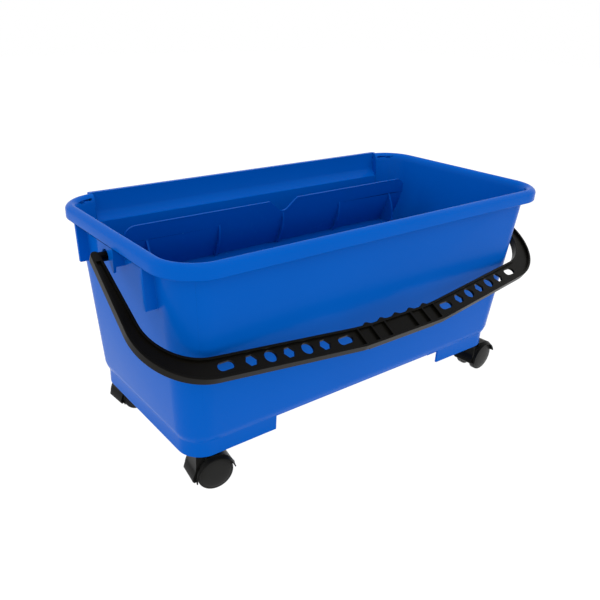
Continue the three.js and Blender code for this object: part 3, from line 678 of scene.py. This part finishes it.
# %% Bearings and webs
peg_axis = joints["handle_swing"]["pos_m"][2] / MM
BEARING_RADIUS = 8
BEARING_FACE_INSET = 7
BEARING_BORE = 5.2
BEARING_DEPTH = 7.1
WEB_Y = 74.7
WEB_THICK = 4
WEB_OUTLINE = [(-15, 162), (-2.6, 162), (-0.7, 206), (-2.2, 211), (-15, 211)]
GUARD_Y = 16.3
GUARD_THICK = 2.6
GUARD_OUTLINE = [(-15, 185.5), (-2, 185.5), (-0.6, 206), (-2.2, 211), (-15, 211)]
APRON_INSETS = (3.4, 0.5)
APRON_LEG = [(17.6, 208), (17.6, 182), (16.9, 180.2), (16, 179.4), (14.9, 179.8), (14.2, 181), (7, 191)]
APRON_ARCH = 7
bearing_face = RIM_HALF[0] - BEARING_FACE_INSET
bearing_end = bearing_face - BEARING_DEPTH


def side_plate(outline, y, thick):
    lifted = [(RIM_HALF[0] + x, up(z)) for x, z in outline]
    return slab_xz(lifted, y - thick / 2, y + thick / 2)


def apron():
    front = [(-y, z) for y, z in reversed(APRON_LEG)]
    outline = [(y, up(z)) for y, z in [*APRON_LEG, *front]]
    x_low, x_high = (RIM_HALF[0] - inset for inset in APRON_INSETS)
    plate = solid(slab_yz(outline, x_low, x_high))
    arch = rod(APRON_ARCH, (x_low - JOIN, 0, peg_axis), (x_high + JOIN, 0, peg_axis))
    return mesh_of(combine(plate, "DIFFERENCE", arch))


def bearing():
    return rod(BEARING_RADIUS, (bearing_end - JOIN, 0, peg_axis), (bearing_face, 0, peg_axis))


for y in (-WEB_Y, WEB_Y):
    combine(tub, "UNION", *mirrored(lambda: side_plate(WEB_OUTLINE, y, WEB_THICK), 0))
for y in (-GUARD_Y, GUARD_Y):
    combine(tub, "UNION", *mirrored(lambda: side_plate(GUARD_OUTLINE, y, GUARD_THICK), 0))
combine(tub, "UNION", *mirrored(apron, 0), *mirrored(bearing, 0))
combine(tub, "UNION", mesh_of(rim))
print("tub with fittings:", len(tub.data.polygons), "faces")

# %% [markdown]
# Under each corner of the floor hangs a socket for a castor's stem, held by two thin stays. The space for the
# water is cut after everything is joined, so that nothing reaches into it.

# %% Castor sockets
SOCKET_RADIUS = 9
SOCKET_BORE = 5.6
SOCKET_DEPTH = 16
SOCKET_RISE = 0.2
STAY_THICK = 2.4
STAY_RISE = 3


def castor_corners():
    """The four swivel axes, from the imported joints."""
    names = [name for name in joints if name.endswith("_swivel")]
    return {name.removesuffix("_swivel"): (Vector(joints[name]["pos_m"]) - tub_middle) / MM for name in names}


corners = castor_corners()
socket_top = up(FLOOR_LOW) + JOIN
for place in corners.values():
    x, y = place.x, place.y
    stay_half = STAY_THICK / 2
    stay_z = (up(STAY_RISE), socket_top)
    along = sorted((math.copysign(CUTOUT_HALF, x), x))
    across = sorted((0, y))
    combine(tub, "UNION", rod(SOCKET_RADIUS, (x, y, up(SOCKET_RISE)), (x, y, socket_top)),
            block(along, (y - stay_half, y + stay_half), stay_z),
            block((x - stay_half, x + stay_half), across, stay_z))
combine(tub, "DIFFERENCE", tub_inside(), rear_slab(RECESS_OUTLINE, RECESS_INSET))
for place in corners.values():
    ends = [(place.x, place.y, up(height)) for height in (-JOIN, SOCKET_DEPTH)]
    combine(tub, "DIFFERENCE", rod(SOCKET_BORE, *ends))
for side in (-1, 1):
    ends = [(side * bearing_end, 0, peg_axis), (side * RIM_HALF[0], 0, peg_axis)]
    combine(tub, "DIFFERENCE", rod(BEARING_BORE, *ends))
finish_piece(tub, "tub_moulding", tub_blue, "tub", ["tub"], edge=0.5)

# %% [markdown]
# The sieve is a second moulding in the same blue; its finish is set darker than the tub's as painted shade
# for the inside of the tub.
# It stands in the tub on six legs and lifts out: an upright plate divides the tub, and a slotted shelf in
# front of it lets a washer drip dry. The plate is a thin sheet that leans and curls forward into the shelf,
# so it is drawn as a side view with thickness and cut to its front view, with the notch where a tool's shaft
# rests. Ribs stiffen the bend from the front.

# %% Sieve sizes
sieve_low, sieve_high = box_mm("sieve")
PLATE_HALF = sieve_high.x
PLATE_BACK = [(72.6, 22.4), (71.7, 33.4), (70.6, 42.4), (69.1, 51.4), (66.6, 60.9), (63.6, 69.4),
              (59.6, 78.9), (58.2, 82.4)]
PLATE_THICK = 3
PLATE_NARROWING = 5.8
PLATE_CORNER = 15
PLATE_CORNER_STEPS = 12
PLATE_DROP = 22.4
NOTCH_HALF = 22
NOTCH_DEPTH = 14.8
NOTCH_LEAN_SHARES = (0.27, 0.53)
NOTCH_DROP_SHARES = (0.86, 0.25)
RIB_SPACING = 95
RIB_THICK = 2.6
RIB_FRONT = [(74.4, 39.9), (75.7, 46.4), (75, 58.4), (72.2, 68.4), (68.1, 77.4), (65.6, 82.4)]
RIB_REAR = [(60.6, 82.4), (60.6, 73.4), (66.6, 58.4), (70.6, 39.9)]
BRACKET_INSET = 27.8
BRACKET_FRONT = [(74, 41.4), (79.6, 52.4), (83.2, 62.4), (84.6, 82.4)]
SHELF_DROP = 81.4
SHELF_THICK = 3
SHELF_END_INSET = 7.8
SHELF_REAR_INSET = 59.6
SHELF_RADIUS = 16
SHELF_LIP = 5
SHELF_LIP_THICK = 2.6
shelf_half = PLATE_HALF - SHELF_END_INSET
shelf_front = sieve_low.y
shelf_rear = RIM_HALF[1] - SHELF_REAR_INSET
shelf_top = RIM_TOP - SHELF_DROP
shelf_low = shelf_top - SHELF_THICK
print("plate half:", round(PLATE_HALF, 1), "shelf from", round(shelf_front, 1), "to", round(shelf_rear, 1))


# %% Sieve plate and ribs
def from_rear(outline):
    """Pairs of inset from the rim's rear face and drop from its crown, as (y, z)."""
    return [(RIM_HALF[1] - inset, RIM_TOP - drop) for inset, drop in outline]


def plate_front_view():
    """The plate seen from the front: round upper corners and a soft notch in the middle."""
    top = RIM_TOP - PLATE_DROP
    low_half = PLATE_HALF - PLATE_NARROWING
    corner = (PLATE_HALF - PLATE_CORNER, top - PLATE_CORNER)
    near, far = (share * NOTCH_HALF for share in NOTCH_LEAN_SHARES)
    near_drop, far_drop = (share * NOTCH_DEPTH for share in NOTCH_DROP_SHARES)
    dip = [(NOTCH_HALF, top), (far + (NOTCH_HALF - far) / 2, top - far_drop), (near, top - near_drop),
           (0, top - NOTCH_DEPTH)]
    half = [(low_half, shelf_low), *arc(corner, PLATE_CORNER, 0, 90, PLATE_CORNER_STEPS), *curve_through(dip)]
    return half + [(-x, z) for x, z in reversed(half[:-1])]


back = curve_through(from_rear(PLATE_BACK))
face = [(y - PLATE_THICK, z) for y, z in reversed(back)]
sieve = solid(slab_yz([*back, *face], -PLATE_HALF, PLATE_HALF), "sieve_plate")
combine(sieve, "INTERSECT", slab_xz(plate_front_view(), 0, RIM_HALF[1]))
rib_view = [*curve_through(from_rear(RIB_FRONT)), *from_rear(RIB_REAR)]
bracket_view = [*curve_through(from_rear(BRACKET_FRONT)), *from_rear(RIB_REAR)]
bracket_x = PLATE_HALF - BRACKET_INSET
for view, x in ((rib_view, -RIB_SPACING), (rib_view, 0), (rib_view, RIB_SPACING),
                (bracket_view, -bracket_x), (bracket_view, bracket_x)):
    combine(sieve, "UNION", slab_yz(view, x - RIB_THICK / 2, x + RIB_THICK / 2))
print("plate with ribs:", len(sieve.data.polygons), "faces")

# %% [markdown]
# The shelf is a shallow upside-down tray. Its slots are a regular pattern, so one rounded slot is drawn in a
# loop over rows and columns, and all of them are cut in a single step.

# %% Sieve shelf and legs
SLOT_BRIDGES = (10, 8)
SLOT_COUNTS = (9, 11)
SLOT_MARGIN_X = 34
SLOT_MARGINS_Y = (14, 23)
SLOT_CORNER = 2.4
SLOT_CORNER_SEGMENTS = 3
LEG_MARGIN_X = 24
LEG_MARGINS_Y = (18, 19)
LEG_TOP = 9
LEG_FOOT = 6.5
LEG_SEGMENTS = 6
TRAY_EDGE = 1.2
TRAY_ROUND = 0.3 * TRAY_EDGE
tray_middle = (0, (shelf_front + shelf_rear) / 2)
tray_half = (shelf_half, (shelf_rear - shelf_front) / 2)


def tray_level(inset, z):
    return [size - inset for size in tray_half], SHELF_RADIUS - inset, z


def spread(first, last, count):
    """Evenly spaced places from first to last."""
    return [first + (last - first) * k / (count - 1) for k in range(count)]


def slots():
    columns = spread(SLOT_MARGIN_X - shelf_half, shelf_half - SLOT_MARGIN_X, SLOT_COUNTS[0])
    rows = spread(shelf_front + SLOT_MARGINS_Y[0], shelf_rear - SLOT_MARGINS_Y[1], SLOT_COUNTS[1])
    half = [(line[1] - line[0] - bridge) / 2 for line, bridge in zip((columns, rows), SLOT_BRIDGES)]
    bm = bmesh.new()
    heights = (shelf_low - JOIN, shelf_top + JOIN)
    for x in columns:
        for y in rows:
            ends = [rounded_loop(bm, half, SLOT_CORNER, z, (x, y), SLOT_CORNER_SEGMENTS) for z in heights]
            bmesh.ops.bridge_loops(bm, edges=ends[0] + ends[1])
            for loop in ends:
                bmesh.ops.contextual_create(bm, geom=loop)
    bmesh.ops.recalc_face_normals(bm, faces=bm.faces)
    return bm


def leg(x, y):
    sizes = ((LEG_FOOT, sieve_low.z), (LEG_TOP, shelf_low + JOIN))
    return loft([((size, size), size / 2, z) for size, z in sizes], (x, y), LEG_SEGMENTS)


tray = solid(loft([tray_level(0, shelf_top - SHELF_LIP), tray_level(0, shelf_top - TRAY_EDGE),
                   tray_level(TRAY_ROUND, shelf_top - TRAY_ROUND), tray_level(TRAY_EDGE, shelf_top)],
                  tray_middle))
under_heights = (shelf_top - SHELF_LIP - JOIN, shelf_low)
under = loft([tray_level(SHELF_LIP_THICK, height) for height in under_heights], tray_middle)
combine(tray, "DIFFERENCE", under, slots())
combine(sieve, "UNION", mesh_of(tray))
leg_x = shelf_half - LEG_MARGIN_X
for x in (-leg_x, 0, leg_x):
    combine(sieve, "UNION", leg(x, shelf_front + LEG_MARGINS_Y[0]), leg(x, shelf_rear - LEG_MARGINS_Y[1]))
finish_piece(sieve, "sieve_moulding", sieve_blue_painted_shade, "sieve", ["sieve"], edge=0.4)

# %% [markdown]
# The carry handle is one black moulding: two arms that turn in the tub's bearings, two wide bends, and a
# pierced bar with a ribbed grip. It is a flat band with a thin web, framed by a border on both sides, like an
# I-beam. It is drawn flat, with x along the pivot and reach away from it, and turned to its rest at the end.

# %% Handle outline
HANDLE_ANGLE = math.radians(30.1)
HANDLE_THICK = 9
HANDLE_WEB = 3
HANDLE_BORDER = 2.6
ARM_WIDTH = 9.2
CORNER_OUT = 9.2
CORNER_REACHES = (155.8, 134.4)
MIDDLE_X = (60, 40)
OUTER_MIDDLE = (181.6, 181.8)
INNER_MIDDLE = (157.6, 158.8)
OUTER_BEND = 69
INNER_BEND = 54
SOFT_BEND = 30
BEND_SEGMENTS = 20
SOFT_SEGMENTS = 2
ARM_GAP = 5.6
ARM_CAP_STEPS = 12
inner_arm = RIM_HALF[0] + ARM_GAP
outer_arm = inner_arm + ARM_WIDTH
outer_corner = outer_arm + CORNER_OUT


def round_corner(bm, vertex, radius):
    """Rounds one corner of a flat face to a radius."""
    first, second = (edge.other_vert(vertex).co - vertex.co for edge in vertex.link_edges)
    reach = radius / math.tan(first.angle(second) / 2)
    bmesh.ops.bevel(bm, geom=[vertex], offset=reach, offset_type="OFFSET", affect="VERTICES",
                    segments=BEND_SEGMENTS if radius > SOFT_BEND else SOFT_SEGMENTS, profile=0.5, material=-1)


def band_face():
    """The handle's outline as one face, with round arm ends."""
    right_outer = [(outer_arm, 0), (outer_corner, CORNER_REACHES[0]), *zip(MIDDLE_X, OUTER_MIDDLE)]
    right_inner = [(inner_arm, 0), (inner_arm, CORNER_REACHES[1]), *zip(MIDDLE_X, INNER_MIDDLE)]
    radii = [0, OUTER_BEND, SOFT_BEND, 0]
    inner_radii = [0, INNER_BEND, SOFT_BEND, 0]
    side = list(zip(right_outer, radii)) + list(zip(reversed(right_inner), reversed(inner_radii)))
    half = ARM_WIDTH / 2
    cap = [((x, -y), 0) for x, y in arc((inner_arm + half, 0), half, 180, 0, ARM_CAP_STEPS)[1:-1]]
    right = cap + side
    mirrored_side = [((-x, y), radius) for (x, y), radius in right]
    count = len(cap) + len(right_outer)
    loop = right[:count] + list(reversed(mirrored_side[:count])) + list(reversed(mirrored_side[count:]))
    loop += right[count:]
    bm = bmesh.new()
    vertices = [bm.verts.new((x, y, 0)) for (x, y), _ in loop]
    bm.faces.new(vertices)
    corners = [(vertex, radius) for vertex, (_, radius) in zip(vertices, loop) if radius]
    for vertex, radius in corners:
        round_corner(bm, vertex, radius)
    return bm


def thicken(bm, low, high):
    """Extrudes the flat faces of a drawing into a solid between two heights."""
    bmesh.ops.translate(bm, verts=bm.verts, vec=(0, 0, low))
    grown = bmesh.ops.extrude_face_region(bm, geom=list(bm.faces))["geom"]
    moved = [item for item in grown if isinstance(item, bmesh.types.BMVert)]
    bmesh.ops.translate(bm, verts=moved, vec=(0, 0, high - low))
    bmesh.ops.recalc_face_normals(bm, faces=bm.faces)
    return bm


handle = solid(thicken(band_face(), -HANDLE_THICK / 2, HANDLE_THICK / 2), "handle_band")
print("handle band:", len(handle.data.polygons), "faces, outer corner at", round(outer_corner, 1))

# %% [markdown]
# Insetting the outline by the border's width gives the floor of the pockets. Cross ribs stay in the grip, and
# a pad fills the side of the grip that faces the tub. The edges are rounded before the holes are cut, because
# the holes come close to the border. The holes alternate between hexagons and rounds, and the first and the
# last of each side are stretched.

# %% Handle pockets and holes
POCKET_START = 8
GRIP_HALF = 58
GRIP_RIBS = (39, 20)
GRIP_RIB_THICK = 2.2
GRIP_PAD_HALF = 50
GRIP_PAD_DEPTH = 3.6
GRIP_PAD_INSET = 1
HOLES = [(0.092, 9.5, 4.6, 0), (0.2155, 0, 6.6, 6), (0.3165, 0, 6.6, 0), (0.4175, 0, 6.6, 6),
         (0.5185, 0, 6.6, 0), (0.6185, 0, 6.6, 6), (0.7465, 8.5, 4.6, 0)]
HOLE_DRIFT = 1.4
ROUND_SIDES = 36
EDGE_ROUND = 0.35
FAR_REACH = 300


def pocket(low, high):
    """The space between the borders on one side of the web."""
    bm = band_face()
    bmesh.ops.inset_region(bm, faces=list(bm.faces), thickness=HANDLE_BORDER, use_even_offset=True,
                             use_boundary=True)
    rim_faces = [face for face in bm.faces if len(face.verts) == 4]
    bmesh.ops.delete(bm, geom=rim_faces, context="FACES")
    made = solid(thicken(bm, low, high))
    keep = [block((-FAR_REACH, FAR_REACH), (-FAR_REACH, POCKET_START), (low - JOIN, high + JOIN))]
    for x in (GRIP_HALF, *GRIP_RIBS):
        for side in (-1, 1):
            edges = (side * x - GRIP_RIB_THICK / 2, side * x + GRIP_RIB_THICK / 2)
            keep.append(block(edges, (0, FAR_REACH), (low - JOIN, high + JOIN)))
    return combine(made, "DIFFERENCE", *keep)


def reach_at(inner, x):
    """Reach of the bar's inner or outer edge at a place along it."""
    corner_x, corner, middle = ((inner_arm, CORNER_REACHES[1], INNER_MIDDLE[0]) if inner
                                else (outer_corner, CORNER_REACHES[0], OUTER_MIDDLE[0]))
    return middle + (corner - middle) * (x - MIDDLE_X[0]) / (corner_x - MIDDLE_X[0])


def hole_outline(share, stretch, radius, sides, side):
    x = GRIP_HALF + share * (RIM_HALF[0] - GRIP_HALF)
    y = (reach_at(True, x) + reach_at(False, x)) / 2 - HOLE_DRIFT
    count = sides or ROUND_SIDES
    start = 0 if sides else 180 / count
    points = []
    for step in range(count):
        angle = math.radians(start + 360 * step / count)
        shift = math.copysign(stretch / 2, math.cos(angle))
        points.append((side * x + shift + radius * math.cos(angle), y + radius * math.sin(angle)))
    return points


handle_half = HANDLE_THICK / 2
web_half = HANDLE_WEB / 2
grip_inner, grip_outer = INNER_MIDDLE[1], OUTER_MIDDLE[1]
pad_y = (grip_inner + HANDLE_BORDER, grip_outer - GRIP_PAD_INSET)


def pad(low, high):
    return block((-GRIP_PAD_HALF, GRIP_PAD_HALF), pad_y, (low, high))


hidden_pocket = combine(pocket(web_half, HANDLE_THICK), "DIFFERENCE", pad(0, HANDLE_THICK + JOIN))
combine(handle, "UNION", pad(web_half, handle_half + GRIP_PAD_DEPTH))
combine(handle, "DIFFERENCE", mesh_of(pocket(-HANDLE_THICK, -web_half)), mesh_of(hidden_pocket))
bake(round_edges(handle, EDGE_ROUND))
for side in (-1, 1):
    for hole in HOLES:
        combine(handle, "DIFFERENCE", slab(hole_outline(*hole, side), 2 * HANDLE_THICK, -HANDLE_THICK))
print("handle with holes:", len(handle.data.polygons), "faces")

# %% [markdown]
# Five low waves on the grip's inner edge keep the fingers apart. Last come the pegs that turn in the
# bearings, and the whole handle is turned down to its rest in front of the tub.

# %% Handle grip, pegs and rest
BUMP_PITCH = 22
BUMP_HALF = 7
BUMP_RISE = 2.9
BUMP_STEPS = 14
PEG_GAP = 0.3
PEG_END_GAP = 0.6
PEG_RADIUS = BEARING_BORE - PEG_GAP


def wave(place):
    base = INNER_MIDDLE[1]
    x = place * BUMP_PITCH
    points = [(x + BUMP_HALF, base + JOIN), (x - BUMP_HALF, base + JOIN)]
    for step in range(BUMP_STEPS + 1):
        share = step / BUMP_STEPS
        rise = BUMP_RISE * (1 - math.cos(2 * math.pi * share)) / 2
        points.append((x - BUMP_HALF + 2 * BUMP_HALF * share, base - rise))
    return slab(points, HANDLE_THICK, -handle_half)


def at_rest(made):
    """Turns the flat drawing about the pegs, with the grip's pad facing the tub."""
    place = Matrix.Translation((0, 0, peg_axis)) @ Matrix.Rotation(HANDLE_ANGLE, 4, "X")
    flip = Matrix.Diagonal((1, -1, -1, 1))
    made.data.transform(place @ flip)
    return made


combine(handle, "UNION", *(wave(place) for place in range(-2, 3)))
for side in (-1, 1):
    ends = [(side * (bearing_end + PEG_END_GAP), 0, 0), (side * (inner_arm + JOIN), 0, 0)]
    combine(handle, "UNION", rod(PEG_RADIUS, *ends))
finish_piece(at_rest(handle), "carry_handle", handle_black, "handle", ["handle"], edge=0)

# %% [markdown]
# A castor's hood is a black moulding over the two wheels: a nose block round the stem, a mudguard over the
# wheels, a keel between them, and a flared rim that slopes down over each wheel's face. The nose, the
# mudguard and the keel are outlines drawn from the side and thickened. The flare is bridged between two
# circles, the outer one larger and lower, and hollowed by the same method, so it keeps an even thin wall.

# %% Hood sizes
WHEEL_RADIUS = 20
TRAIL = 15
AXLE_RADIUS = 2.6
RUN = 0.3
WHEEL_ROOM = 0.6
HOOD_WALL = 1.5
HOOD_INNER = WHEEL_RADIUS + WHEEL_ROOM
HOOD_OUTER = HOOD_INNER + HOOD_WALL
HOOD_GAP = 0.8
HOOD_TOP = FOOT_Z - HOOD_GAP
HOOD_HALF = 13.4
LIP_HALF = 17.6
LIP_SINK = 3.3
LIP_FLARE = 0.6
LIP_INNER = HOOD_INNER + LIP_FLARE
LIP_OUTER = LIP_INNER + HOOD_WALL
LIP_CIRCLE = 128
KEEL_HALF = 5.9
NOSE_FRONT = [(-8.5, 0.336), (-10.5, 0.389), (-9.7, 0.486), (-8.3, 0.567), (-6.7, 0.648), (-5.7, 0.787)]
NOSE_STEPS = 4
NOSE_TOP_X = -5
SHOULDER_LOW = 24
SHOULDER_TOP_HALF = 9.6
SHOULDER_END = 3
HEEL_WALL = 2.8
HEEL_X = TRAIL + AXLE_RADIUS + HEEL_WALL
LIP_ANGLE = 11
NOSE_END_ANGLE = 193
TAIL_STEPS = 28
ARCH_STEPS = 64
HOOD_BORE = 4.2
STEM_LOW = 25
axle_place = (TRAIL, WHEEL_RADIUS)
print("hood top:", round(HOOD_TOP, 1))


# %% Hood flare
def circles(rows):
    """A closed solid through circles about the axle, each given as (radius, sink, depth)."""
    bm = bmesh.new()
    loops = []
    for radius, sink, depth in rows:
        older = set(bm.edges)
        place = Matrix.Translation((TRAIL, depth, WHEEL_RADIUS - sink)) @ Matrix.Rotation(math.pi / 2, 4, "X")
        bmesh.ops.create_circle(bm, cap_ends=False, segments=LIP_CIRCLE, radius=radius, matrix=place)
        loops.append([edge for edge in bm.edges if edge not in older])
    for lower, upper in zip(loops, loops[1:]):
        bmesh.ops.bridge_loops(bm, edges=lower + upper)
    for loop in (loops[0], loops[-1]):
        bmesh.ops.contextual_create(bm, geom=loop)
    bmesh.ops.recalc_face_normals(bm, faces=bm.faces)
    return bm


def flare():
    """The sloping rim over the wheel on the positive side."""
    made = solid(circles([(HOOD_OUTER, 0, HOOD_HALF - JOIN), (LIP_OUTER, LIP_SINK, LIP_HALF)]))
    hollow = circles([(HOOD_INNER, 0, 0), (HOOD_INNER, 0, HOOD_HALF), (LIP_INNER, LIP_SINK, LIP_HALF),
                      (LIP_INNER, LIP_SINK, LIP_HALF + JOIN)])
    first, last = arc(axle_place, FAR_REACH, NOSE_END_ANGLE, LIP_ANGLE, 1)
    below = [axle_place, first, (first[0], -FAR_REACH), (last[0], -FAR_REACH), last]
    combine(made, "DIFFERENCE", hollow, slab_xz(below, -FAR_REACH, FAR_REACH))
    return mesh_of(made)


print("flare from", round(HOOD_OUTER, 1), "to", round(LIP_OUTER, 1), "mm radius")


# %% Hood shape
def hood():
    nose_line = [(x, share * HOOD_TOP) for x, share in NOSE_FRONT]
    nose = [(NOSE_TOP_X, HOOD_TOP), *reversed(curve_through(nose_line, NOSE_STEPS))]
    outer = arc(axle_place, HOOD_OUTER, LIP_ANGLE, 90, TAIL_STEPS)
    inside = arc(axle_place, HOOD_INNER, NOSE_END_ANGLE, LIP_ANGLE, ARCH_STEPS)
    heel = (HEEL_X, NOSE_FRONT[0][1] * HOOD_TOP)
    keel_arc = arc(axle_place, HOOD_OUTER - JOIN, LIP_ANGLE, 90, TAIL_STEPS)
    made = solid(slab_xz([*outer, *nose, *inside], -HOOD_HALF, HOOD_HALF))
    combine(made, "UNION", slab_xz([*keel_arc, *nose, heel], -KEEL_HALF, KEEL_HALF))
    combine(made, "UNION", *mirrored(flare, 1))
    over = HOOD_TOP + JOIN
    slope = [(HOOD_HALF, SHOULDER_LOW), (SHOULDER_TOP_HALF, HOOD_TOP), (SHOULDER_TOP_HALF, over),
             (HOOD_HALF + JOIN, over), (HOOD_HALF + JOIN, SHOULDER_LOW)]
    combine(made, "DIFFERENCE", *mirrored(lambda: slab_yz(slope, -HOOD_OUTER, SHOULDER_END), 1))
    combine(made, "DIFFERENCE", rod(HOOD_BORE, (0, 0, STEM_LOW - RUN), (0, 0, over)))
    combine(made, "DIFFERENCE", rod(AXLE_RADIUS + RUN, (TRAIL, -HOOD_OUTER, WHEEL_RADIUS),
                                    (TRAIL, HOOD_OUTER, WHEEL_RADIUS)))
    return mesh_of(made)


hood_shape = hood()
print("hood:", len(hood_shape.faces), "faces")

# %% [markdown]
# A wheel is a turned shape: a hub with its bore on the inner side, a tread with soft shoulders, and an outer
# disc that is domed, with a fine ring near its rim. Spinning its profile round the axle makes it seamless.

# %% Wheel
KEEL_ROOM = 0.7
WHEEL_START = KEEL_HALF + KEEL_ROOM
WHEEL_HUB_RADIUS = 6.4
WHEEL_DISH = 1.8
HUB_BORE_DEPTH = 6.6
WHEEL_STEPS = 96
SEAM_MERGE = 0.001
WHEEL_OUTSIDE = [(3.4, 0), (0.8, 0), (0.3, 0.2), (0, 0.8), (0, 5.8), (0.2, 6.5), (0.8, 6.95), (1.7, 7.25),
                 (2.6, 7.4), (3, 7.32), (3.3, 7.45), (3.6, 7.62), (5.4, 8.02), (9, 8.6), (14, 8.92),
                 (WHEEL_RADIUS, 9)]


def wheel_mesh(side):
    """The wheel on one side of the keel, on a castor whose stem stands at the origin."""
    bore = AXLE_RADIUS + RUN
    rim_inner = WHEEL_RADIUS - WHEEL_OUTSIDE[0][0]
    profile = [(0, HUB_BORE_DEPTH), (bore, HUB_BORE_DEPTH), (bore, 0), (WHEEL_HUB_RADIUS, 0),
               (WHEEL_HUB_RADIUS, WHEEL_DISH), (rim_inner, WHEEL_DISH)]
    profile += [(WHEEL_RADIUS - inset, depth) for inset, depth in WHEEL_OUTSIDE]
    bm = bmesh.new()
    line = [bm.verts.new((radius, side * (WHEEL_START + depth), 0)) for radius, depth in profile]
    edges = [bm.edges.new(pair) for pair in zip(line, line[1:])]
    bmesh.ops.spin(bm, geom=line + edges, cent=(0, 0, 0), axis=(0, 1, 0), dvec=(0, 0, 0),
                   angle=2 * math.pi, steps=WHEEL_STEPS, use_merge=True)
    bmesh.ops.remove_doubles(bm, verts=bm.verts, dist=SEAM_MERGE)
    bmesh.ops.recalc_face_normals(bm, faces=bm.faces)
    bmesh.ops.translate(bm, verts=bm.verts, vec=(TRAIL, 0, WHEEL_RADIUS))
    return bm


print("wheel profile points:", len(WHEEL_OUTSIDE))

# %% [markdown]
# The four castors are alike. One hood and one pair of wheels are drawn with the stem at the origin, and each
# corner gets a copy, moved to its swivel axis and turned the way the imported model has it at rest.

# %% Castors in place
HOOD_MERGE = 0.12
HOOD_SHARP_ANGLE = 40


def swivel_angle(name):
    """How far a castor is turned at rest, from its wheels' axis."""
    axis = joints[f"{name}_wheel_rear_roll"]["axis"]
    return math.atan2(-axis[0], axis[1])


for name, place in corners.items():
    castor_turn = Matrix.Translation((place.x, place.y, 0)) @ Matrix.Rotation(swivel_angle(name), 4, "Z")
    shell = hood_shape.copy()
    bmesh.ops.transform(shell, matrix=castor_turn, verts=shell.verts)
    finish_piece(solid(shell), f"{name}_hood_shell", hood_black, name, [f"{name}_hood"],
                 edge=0.35, angle=HOOD_SHARP_ANGLE, merge=HOOD_MERGE)
    for end, side in (("rear", 1), ("front", -1)):
        disc = wheel_mesh(side)
        bmesh.ops.transform(disc, matrix=castor_turn, verts=disc.verts)
        body = f"{name}_wheel_{end}"
        finish_piece(solid(disc), f"{body}_disc", wheel_black, body, [body], edge=0.25)
